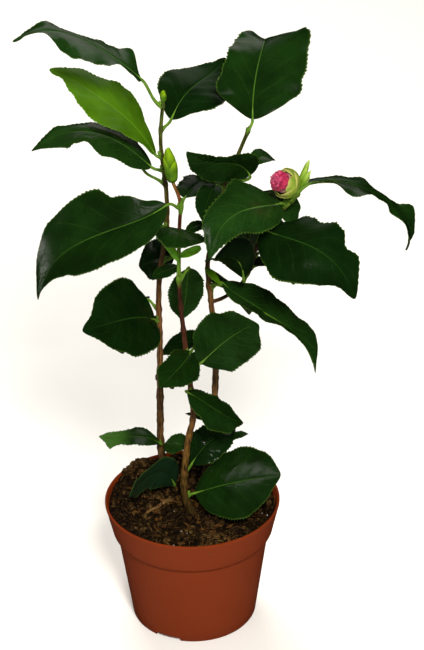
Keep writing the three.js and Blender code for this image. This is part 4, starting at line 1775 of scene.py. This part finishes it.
@dataclass(frozen=True)
class Softbox:
    """Square lamp: its place and size in metres, its watts, and whether only gloss shows it."""

    name: str
    place: Point
    size: float
    power: float
    glint: bool = False

    def build(self, aim: Vector) -> None:
        """Hangs the lamp, facing a point.

        Args:
            aim: the point that it faces.
        """
        data = bpy.data.lights.new(self.name, "AREA")
        data.size = self.size
        data.energy = self.power
        data.color = linear("fffaf2")[:3]
        light = bpy.data.objects.new(self.name, data)
        light.location = self.place
        light.rotation_euler = (aim - Vector(self.place)).to_track_quat("-Z", "Y").to_euler()
        light.visible_glossy = self.glint
        light.visible_diffuse = not self.glint
        bpy.context.scene.collection.objects.link(light)


SOFTBOXES = (
    Softbox("key_softbox", (0.2, -1.25, 1.35), 0.35, 37.0),
    Softbox("fill_softbox", (-1.3, -0.9, 0.9), 0.8, 3.0),
    Softbox("top_softbox", (0.1, 0.7, 2.2), 0.8, 20.0),
    Softbox("back_softbox", (-0.5, 1.9, 1.5), 1.2, 26.0),
    Softbox("front_glint", (-0.4, -0.7, 1.14), 0.12, 0.9, glint=True),
    Softbox("left_glint", (-1.1, 0.26, 0.44), 0.12, 0.55, glint=True),
    Softbox("rear_glint", (0.22, 1.02, 0.9), 0.65, 0.8, glint=True),
)


@dataclass
class Studio:
    """Pale floor, soft light and the camera at the photograph's viewing angle."""

    floor_radius: float = 12.0
    sky: str = "f6f7f8"
    sky_strength: float = 0.26
    aim: Point = (0.0, 0.0, 0.25)
    focal_share: float = 1873.0 / 650.0
    sensor: float = 36.0
    camera_place: Point = (0.0, -1.162017, 0.879843)
    camera_axes: tuple[Point, Point, Point] = (
        (0.99970333, 0.02094242, -0.01243625),
        (-0.02096021, 0.4796335, -0.87721855),
        (-0.01240624, 0.87721897, 0.47993016),
    )

    def build(self) -> None:
        """Sets the floor, the lights, the world and the camera."""
        bm = bmesh.new()
        bmesh.ops.create_circle(bm, cap_ends=True, radius=self.floor_radius, segments=96)
        floor = scene_object("studio_floor", bm)
        floor.data.materials.append(Backdrop("matt_backdrop_paper").material())
        # Floor, world and rear lights stay out of the leaves' gloss, as with a polariser
        floor.visible_glossy = False
        for box in SOFTBOXES:
            box.build(Vector(self.aim))
        world = bpy.data.worlds.new("studio_world")
        bpy.context.scene.world = world
        world.use_nodes = True
        world.cycles_visibility.glossy = False
        world.node_tree.nodes["Background"].inputs["Color"].default_value = linear(self.sky)
        world.node_tree.nodes["Background"].inputs["Strength"].default_value = self.sky_strength
        bpy.context.scene.view_settings.view_transform = "Standard"
        self.add_camera()

    def add_camera(self) -> None:
        """Adds the camera, whose long side is the picture's height."""
        data = bpy.data.cameras.new("camera")
        data.sensor_width = self.sensor
        data.lens = self.focal_share * self.sensor
        data.clip_start = 0.05
        data.clip_end = 60.0
        camera = bpy.data.objects.new("camera", data)
        turn = Matrix(self.camera_axes)
        camera.matrix_world = Matrix.Translation(self.camera_place) @ turn.to_4x4()
        bpy.context.scene.collection.objects.link(camera)
        bpy.context.scene.camera = camera


# The plant

# Stems: name, foot and tip radius, bends, colours by height, scars of old leaves, parent
OLD_BARK = ((94, "46351c"), (150, "5c4020"), (240, "6b4724"), (290, "5a3f1e"), (420, "3d541c"))
LEFT = Stem(
    "stem_left",
    2.9,
    1.2,
    (
        (-18, 18, 94), (-22.5, 17, 130), (-22, 16, 174), (-21, 15, 225), (-20.4, 14, 271),
        (-13, 13, 327), (-16.5, 12, 378), (-14, 11, 410),
    ),
    OLD_BARK,
    (112, 131, 156, 176, 198),
)
MIDDLE = Stem(
    "stem_middle",
    2.6,
    1.15,
    (
        (-1.6, -11.5, 94), (-6.2, -10.5, 115), (-2.3, -9, 154), (2, -8, 177), (-2.3, -7, 227),
        (-6, -6, 276), (-5, -5, 323), (-3.8, -5, 342), (-8.9, -5, 358),
    ),
    (
        (94, "362c12"), (150, "6d4d1e"), (185, "5c3a1a"), (215, "4c2716"), (278, "3d1f13"),
        (285, "5c8420"), (304, "628824"), (310, "391e13"), (345, "6a361e"), (358, "745826"),
    ),
    (101, 117, 125, 158, 171, 188, 212, 244, 262),
)
RIGHT = Stem(
    "stem_right",
    2.8,
    1.2,
    (
        (10, 30, 94), (15, 28, 131), (19.5, 24.5, 205), (15, 20, 266), (15, 17.8, 290),
        (26.3, 14.5, 342), (44.2, 11, 390),
    ),
    OLD_BARK,
    (108, 124, 152, 168, 178, 240),
)
BRANCH = Stem(
    "branch_bud",
    1.5,
    1.1,
    (
        (17, 21.5, 251), (26, 32, 249), (38, 33.5, 258), (45.5, 24, 279), (49, 10, 301), (59, 3, 324),
        (75.6, -1, 343.5),
    ),
    (
        (245, "4d341c"), (275, "431f12"), (315, "43290f"), (335, "4f5f1c"), (346, "67822a"),
    ),
    (256,),
    parent=RIGHT,
)

# Leaves by number: stem, blade foot and tip, width, arches, sways, roll, twist, fold, curl,
# place of the widest point, and the skin where it isn't the dark one
LEAVES = {
    1: (
        LEFT, (-28, 10, 426), (-108, -27, 467), 42, (0.14, 0.21), (-0.02, 0.3), 12, -24, 6, 0.18, 0.46,
        Skin.MID,
    ),
    2: (
        LEFT, (-20, 10, 371), (-90, 24, 429), 49, (0.09, 0.1), (0.07, 0.03), 5, 21, 4, 0.09, 0.47,
        Skin.YOUNG,
    ),
    3: (
        LEFT, (-23, 8, 363), (-103, -5, 382), 40, (0.22, 0.32), (0.08, 0.13), 11, -17, 6, 0.19, 0.43,
        Skin.MID,
    ),
    4: (
        LEFT, (-9, 19, 393), (30, 85, 412), 42, (0.21, -0.09), (0.01, -0.04), -20, 10, 7, 0.15, 0.48,
        Skin.DEEP_AND_SHADED,
    ),
    5: (RIGHT, (46, 9, 396), (58, 100, 419), 54, (0.2, 0.3), (-0.04, 0.07), -4, 32, 16, 0.07, 0.43),
    6: (RIGHT, (44, 9, 355), (1, -24, 388), 33, (0.19, -0.12), (-0.03, -0.11), 125, 28, 14, 0.03, 0.45),
    7: (BRANCH, (84, -6, 355), (155, 28, 286), 36, (0.2, 0.32), (-0.2, 0.32), -9, -30, 9, 0.08, 0.45),
    8: (MIDDLE, (-7, 4, 290), (-25, -8, 287), 11, (0.06, -0.02), (-0.02, -0.05), 18, -1, 7, 0.17, 0.46),
    9: (
        BRANCH, (64, -5, 340), (15, -57, 325), 36, (0.15, 0.39), (-0.03, 0.1), 33, 1, 5, 0.17, 0.41,
        Skin.MID,
    ),
    10: (
        BRANCH, (52, -4, 321), (111, -62, 295), 50, (0.14, 0.36), (0.11, -0.02), -31, -4, 0, 0.29,
        0.42, Skin.DEEP_AND_SHADED,
    ),
    11: (
        BRANCH, (39, 3, 279), (18, -40, 316), 31, (0.24, 0.12), (-0.05, 0.06), -40, -25, 22, -0.09,
        0.48, Skin.SHADED,
    ),
    12: (
        RIGHT, (25, 18, 268), (89, -16, 212), 46, (-0.01, 0.25), (0.01, -0.1), 15, 20, 15, 0.02, 0.44,
        Skin.MID,
    ),
    13: (RIGHT, (13, 13, 318), (-1, 2, 316), 9, (0.1, 0.06), (-0.01, -0.02), 19, -1, 9, 0.13, 0.46),
    14: (
        MIDDLE, (8, -12, 220), (47, -53, 273), 44, (0.04, 0.08), (-0.03, -0.04), 70, -6, 9, 0.11, 0.46,
        Skin.MID,
    ),
    15: (
        LEFT, (-24, 10, 244), (-72, -52, 270), 53, (0.09, 0.08), (-0.02, -0.1), 54, 8, 11, 0.02, 0.46,
        Skin.DEEP_AND_SHADED,
    ),
    16: (MIDDLE, (-13, -10, 343), (-104, -14, 274), 62, (0.03, 0.27), (-0.07, 0.13), 27, -32, 13, 0.03, 0.5),
    17: (LEFT, (-17, -4, 324), (11, -44, 331), 25, (0.06, -0.03), (0.05, 0.02), 1, -16, 1, 0.26, 0.46),
    18: (LEFT, (-9, 13, 293), (-35, 38, 273), 28, (0.06, 0), (0.01, -0.02), 73, 1, 8, 0.12, 0.47, Skin.DEEP_AND_SHADED),
    19: (MIDDLE, (1, 3, 288), (-5, 20, 238), 25, (0.03, 0), (0.01, 0.03), -7, -1, 9, 0.15, 0.47, Skin.MID),
    20: (
        MIDDLE, (6, 5, 229), (-21, 30, 204), 22, (0.02, 0.2), (0.03, 0.03), 31, -7, 8, 0.15, 0.45,
        Skin.DEEP_AND_SHADED,
    ),
    21: (MIDDLE, (1, -13, 230), (-21, -58, 228), 26, (0.04, 0.03), (-0.09, -0.05), 26, -5, 8, 0.13, 0.46),
    22: (MIDDLE, (-2, -18, 200), (38, -12, 170), 28, (0.04, -0.06), (0.06, 0.11), -28, -7, 2, 0.25, 0.48),
    23: (
        MIDDLE, (0, -5, 131), (33, 15, 148), 29, (0.24, 0.27), (0.05, 0.07), -22, 4, 5, 0.15, 0.46,
        Skin.GLOSSY,
    ),
    24: (MIDDLE, (2, -12, 110), (63, -50, 149), 52, (0.02, 0.01), (-0.02, -0.05), -52, 0, 3, 0.23, 0.48),
    25: (
        LEFT, (-13, 5, 107), (-46, -35, 123), 28, (0.38, 0.27), (0.02, 0), 105, 0, 9, 0.12, 0.45,
        Skin.PAINTED_SHEEN,
    ),
    26: (LEFT, (-23, 7, 142), (-68, 9, 148), 23, (0.2, 0), (0, -0.05), 2, 3, 8, 0.15, 0.46, Skin.PALE_TIP),
    27: (
        MIDDLE, (-2, -2, 146), (-20, 12, 138), 17, (0.03, 0.06), (-0.05, -0.04), 32, 0, 10, 0.11, 0.46,
        Skin.MID,
    ),
    28: (
        MIDDLE, (-1, 1, 343), (16, 39, 340), 22, (0.05, 0.12), (-0.03, 0), -7, -2, 11, 0.1, 0.46,
        Skin.DEEP_AND_SHADED,
    ),
    29: (RIGHT, (21, 12, 347), (11, -15, 332), 17, (0.2, 0.17), (0.02, 0), 6, -9, 15, 0.04, 0.45, Skin.DEEP_AND_SHADED),
    30: (
        RIGHT, (45, 12, 361), (62, 35, 355), 14, (0.24, 0.18), (0.01, -0.01), -23, -1, 13, 0.07, 0.47,
        Skin.MID,
    ),
    31: (BRANCH, (62, 6, 338), (80, 24, 324), 28, (-0.08, 0.05), (0.02, 0), -56, 9, 7, 0.16, 0.45, Skin.MID),
    32: (RIGHT, (23, 22, 133), (43, 22, 139), 10, (0.11, 0.12), (0, 0), -3, -1, 9, 0.14, 0.46),
    33: (
        RIGHT, (23, 10, 272), (12, 13, 283), 8, (0.04, 0.06), (-0.02, -0.02), 3, 1, 7, 0.17, 0.46,
        Skin.YOUNG,
    ),
    34: (
        RIGHT, (16, 39, 192), (-13, 93, 137), 44, (0.18, 0.27), (0, -0.09), 11, -1, 9, 0.16, 0.46,
        Skin.MID,
    ),
    35: (BRANCH, (51, 22, 306), (42, 83, 249), 45, (0.16, 0.29), (0, 0.06), 5, -6, 11, 0.12, 0.46),
    36: (RIGHT, (19, 34, 259), (46, 90, 203), 41, (0.18, 0.17), (0, -0.05), -19, 2, 10, 0.15, 0.46),
    37: (
        RIGHT, (29, 25, 351), (21, 87, 297), 43, (0.17, 0.26), (0, 0.09), -9, -12, 13, 0.14, 0.46,
        Skin.MID,
    ),
    38: (
        LEFT, (-20, 23, 325), (-58, 81, 283), 44, (0.13, 0.2), (0, 0.04), -14, -3, 9, 0.17, 0.46,
        Skin.DEEP_AND_SHADED,
    ),
    39: (LEFT, (-30, 21, 255), (-66, 57, 209), 34, (0.12, 0.14), (0, -0.05), -5, 10, 5, 0.08, 0.46),
    40: (
        BRANCH, (54, 22, 292), (108, 57, 246), 42, (0.19, 0.16), (0, -0.01), 14, -8, 6, 0.13, 0.46,
        Skin.MID,
    ),
    41: (LEFT, (-30, 25, 356), (-72, 66, 394), 22, (0.2, 0.22), (0, 0.03), 24, -8, 8, 0.16, 0.46),
    42: (
        RIGHT, (20, 34, 220), (34, 79, 176), 32, (0.16, 0.27), (0, -0.03), -16, 5, 8, 0.12, 0.46,
        Skin.DEEP_AND_SHADED,
    ),
    43: (BRANCH, (59, 13, 312), (116, 30, 268), 39, (0.16, 0.28), (0, 0.07), 13, 12, 4, 0.08, 0.46),
    44: (
        BRANCH, (48, 28, 276), (79, 80, 233), 41, (0.16, 0.26), (0, -0.02), 6, 6, 10, 0.14, 0.46,
        Skin.DEEP_AND_SHADED,
    ),
    45: (RIGHT, (14, 38, 141), (10, 85, 117), 27, (0.19, 0.17), (0, -0.09), 16, 3, 13, 0.16, 0.46),
    46: (BRANCH, (68, 9, 344), (49, 69, 290), 42, (0.11, 0.22), (0, -0.02), 3, 3, 6, 0.12, 0.46, Skin.MID),
    47: (LEFT, (-24, 23, 235), (-50, 71, 182), 36, (0.12, 0.16), (0, -0.06), 8, -14, 9, 0.14, 0.46),
}
TURNED_LEAVES = (11, 14, 19)
CREASED_LEAVES = (12,)
TOOTHED_LEAVES = (9, 17, 27)

# Heights in mm of the wavy margins, on each hand, at every tenth of the length
WAVES = {
    7: (
        (-0.3, -4.4, -1.0, -0.3, -4.3, -2.4, 0.2, 8.3, 4.9),
        (2.8, -2.2, -3.3, 1.6, 1.2, -4.0, -2.7, -3.1, -1.0),
    ),
    5: (
        (1.5, -7.8, -2.6, -0.4, 0.7, -0.2, -1.0, 4.0, 5.7),
        (5.2, 0.3, 1.2, 0.7, 2.1, 8.0, 4.4, -0.8, -2.3),
    ),
    1: (
        (0.8, 2.1, 0.5, 0.6, 0.5, -1.4, -3.6, 1.7, 2.0),
        (4.2, 0.1, -1.3, -1.8, -1.5, -1.0, 0.9, -2.2, -2.8),
    ),
}
# How far each margin stands in or out of the even outline there, in hundredths
MARGINS = {
    1: ((53, 51, 94, 133, 148, 144, 105, 36, 37), (173, 136, 99, 67, 57, 54, 85, 78, 82)),
    2: ((66, 76, 90, 104, 112, 108, 100, 74, 34), (95, 104, 132, 140, 122, 98, 92, 102, 94)),
    3: ((105, 105, 100, 108, 98, 62, 82, 130, 170), (100, 100, 100, 82, 70, 64, 62, 95, 110)),
    4: ((100, 114, 112, 108, 98, 82, 74, 66, 70), (92, 100, 115, 115, 110, 100, 100, 100, 100)),
    5: ((150, 115, 93, 82, 82, 79, 89, 86, 108), (130, 139, 124, 127, 126, 137, 138, 150, 149)),
    6: ((100, 105, 95, 100, 108, 100, 95, 100, 100), (100, 100, 90, 76, 76, 60, 64, 94, 125)),
    7: ((60, 108, 91, 115, 114, 100, 114, 131, 100), (88, 123, 124, 134, 99, 60, 85, 66, 70)),
    9: ((100, 100, 103, 103, 96, 88, 80, 78, 95), (120, 135, 155, 130, 102, 95, 98, 105, 100)),
    10: ((90, 112, 102, 90, 110, 102, 68, 98, 96), (95, 100, 114, 112, 107, 103, 100, 102, 80)),
    12: ((90, 108, 112, 95, 92, 94, 105, 140, 170), (95, 100, 108, 95, 100, 85, 50, 30, 30)),
    14: ((105, 108, 100, 96, 94, 98, 102, 98, 90), (100, 106, 98, 98, 100, 102, 96, 102, 100)),
    15: ((110, 108, 103, 102, 106, 110, 98, 100, 86), (115, 104, 106, 110, 106, 104, 106, 106, 82)),
    16: ((100, 100, 100, 97, 104, 104, 92, 80, 95), (72, 82, 82, 110, 108, 104, 106, 93, 100)),
    17: ((100, 100, 100, 100, 100, 100, 100, 100, 100), (100, 100, 100, 105, 115, 122, 122, 115, 100)),
    21: ((100, 100, 105, 110, 116, 110, 100, 95, 100), (100, 100, 90, 82, 80, 88, 96, 102, 100)),
    22: ((105, 98, 86, 90, 104, 100, 104, 108, 120), (110, 100, 94, 106, 110, 104, 95, 105, 80)),
    24: ((100, 96, 104, 100, 102, 100, 94, 96, 110), (106, 100, 98, 100, 100, 98, 95, 90, 85)),
    26: ((100, 100, 100, 92, 88, 94, 110, 170, 120), (110, 110, 118, 112, 84, 68, 78, 80, 110)),
    25: ((100, 100, 105, 105, 95, 85, 85, 105, 190), (100, 100, 100, 100, 92, 80, 80, 105, 190)),
    41: ((30, 40, 70, 80, 90, 100, 100, 100, 100), (30, 40, 70, 80, 90, 100, 100, 100, 100)),
    28: ((100, 106, 98, 92, 90, 110, 100, 100, 100), (100, 100, 108, 105, 95, 100, 100, 100, 100)),
}

@dataclass
class Camellia:
    """The whole plant: stems, leaves and buds in the order that they grow."""

    stems: tuple[Stem, ...] = (LEFT, MIDDLE, RIGHT, BRANCH)
    leaves: list[Leaf] = field(default_factory=list)

    def __post_init__(self) -> None:
        """Lays out the leaves, and the swelling where each one leaves its stem."""
        for number, row in LEAVES.items():
            leaf = Leaf(
                f"leaf_{number:02d}",
                *row,
                turned=number in TURNED_LEAVES,
                crease=0.45 * (number in CREASED_LEAVES),
                margins=MARGINS.get(number, ()),
                waves=WAVES.get(number, ()),
                tooth_depth=2.1 if number in TOOTHED_LEAVES else 1.3,
            )
            self.leaves.append(leaf)
            leaf.stem.leaves.append(leaf.stalk().points[0].z)

    def build(self) -> list[Piece]:
        """Makes every piece of the plant.

        Returns:
            The pieces, in the order that they are made.
        """
        pieces = [part.build() for part in (*self.stems, *self.leaves)]
        pieces += FlowerBud(BRANCH).build()
        return pieces + TopBuds(LEFT, MIDDLE, self.leaves).build()


def main() -> None:
    """Builds the pot, the compost and the plant, then the studio."""
    logging.basicConfig(level=logging.INFO, format="%(message)s")
    NurseryPot().build()
    Compost().build()
    Camellia().build()
    Studio().build()


if __name__ == "__main__":
    main()
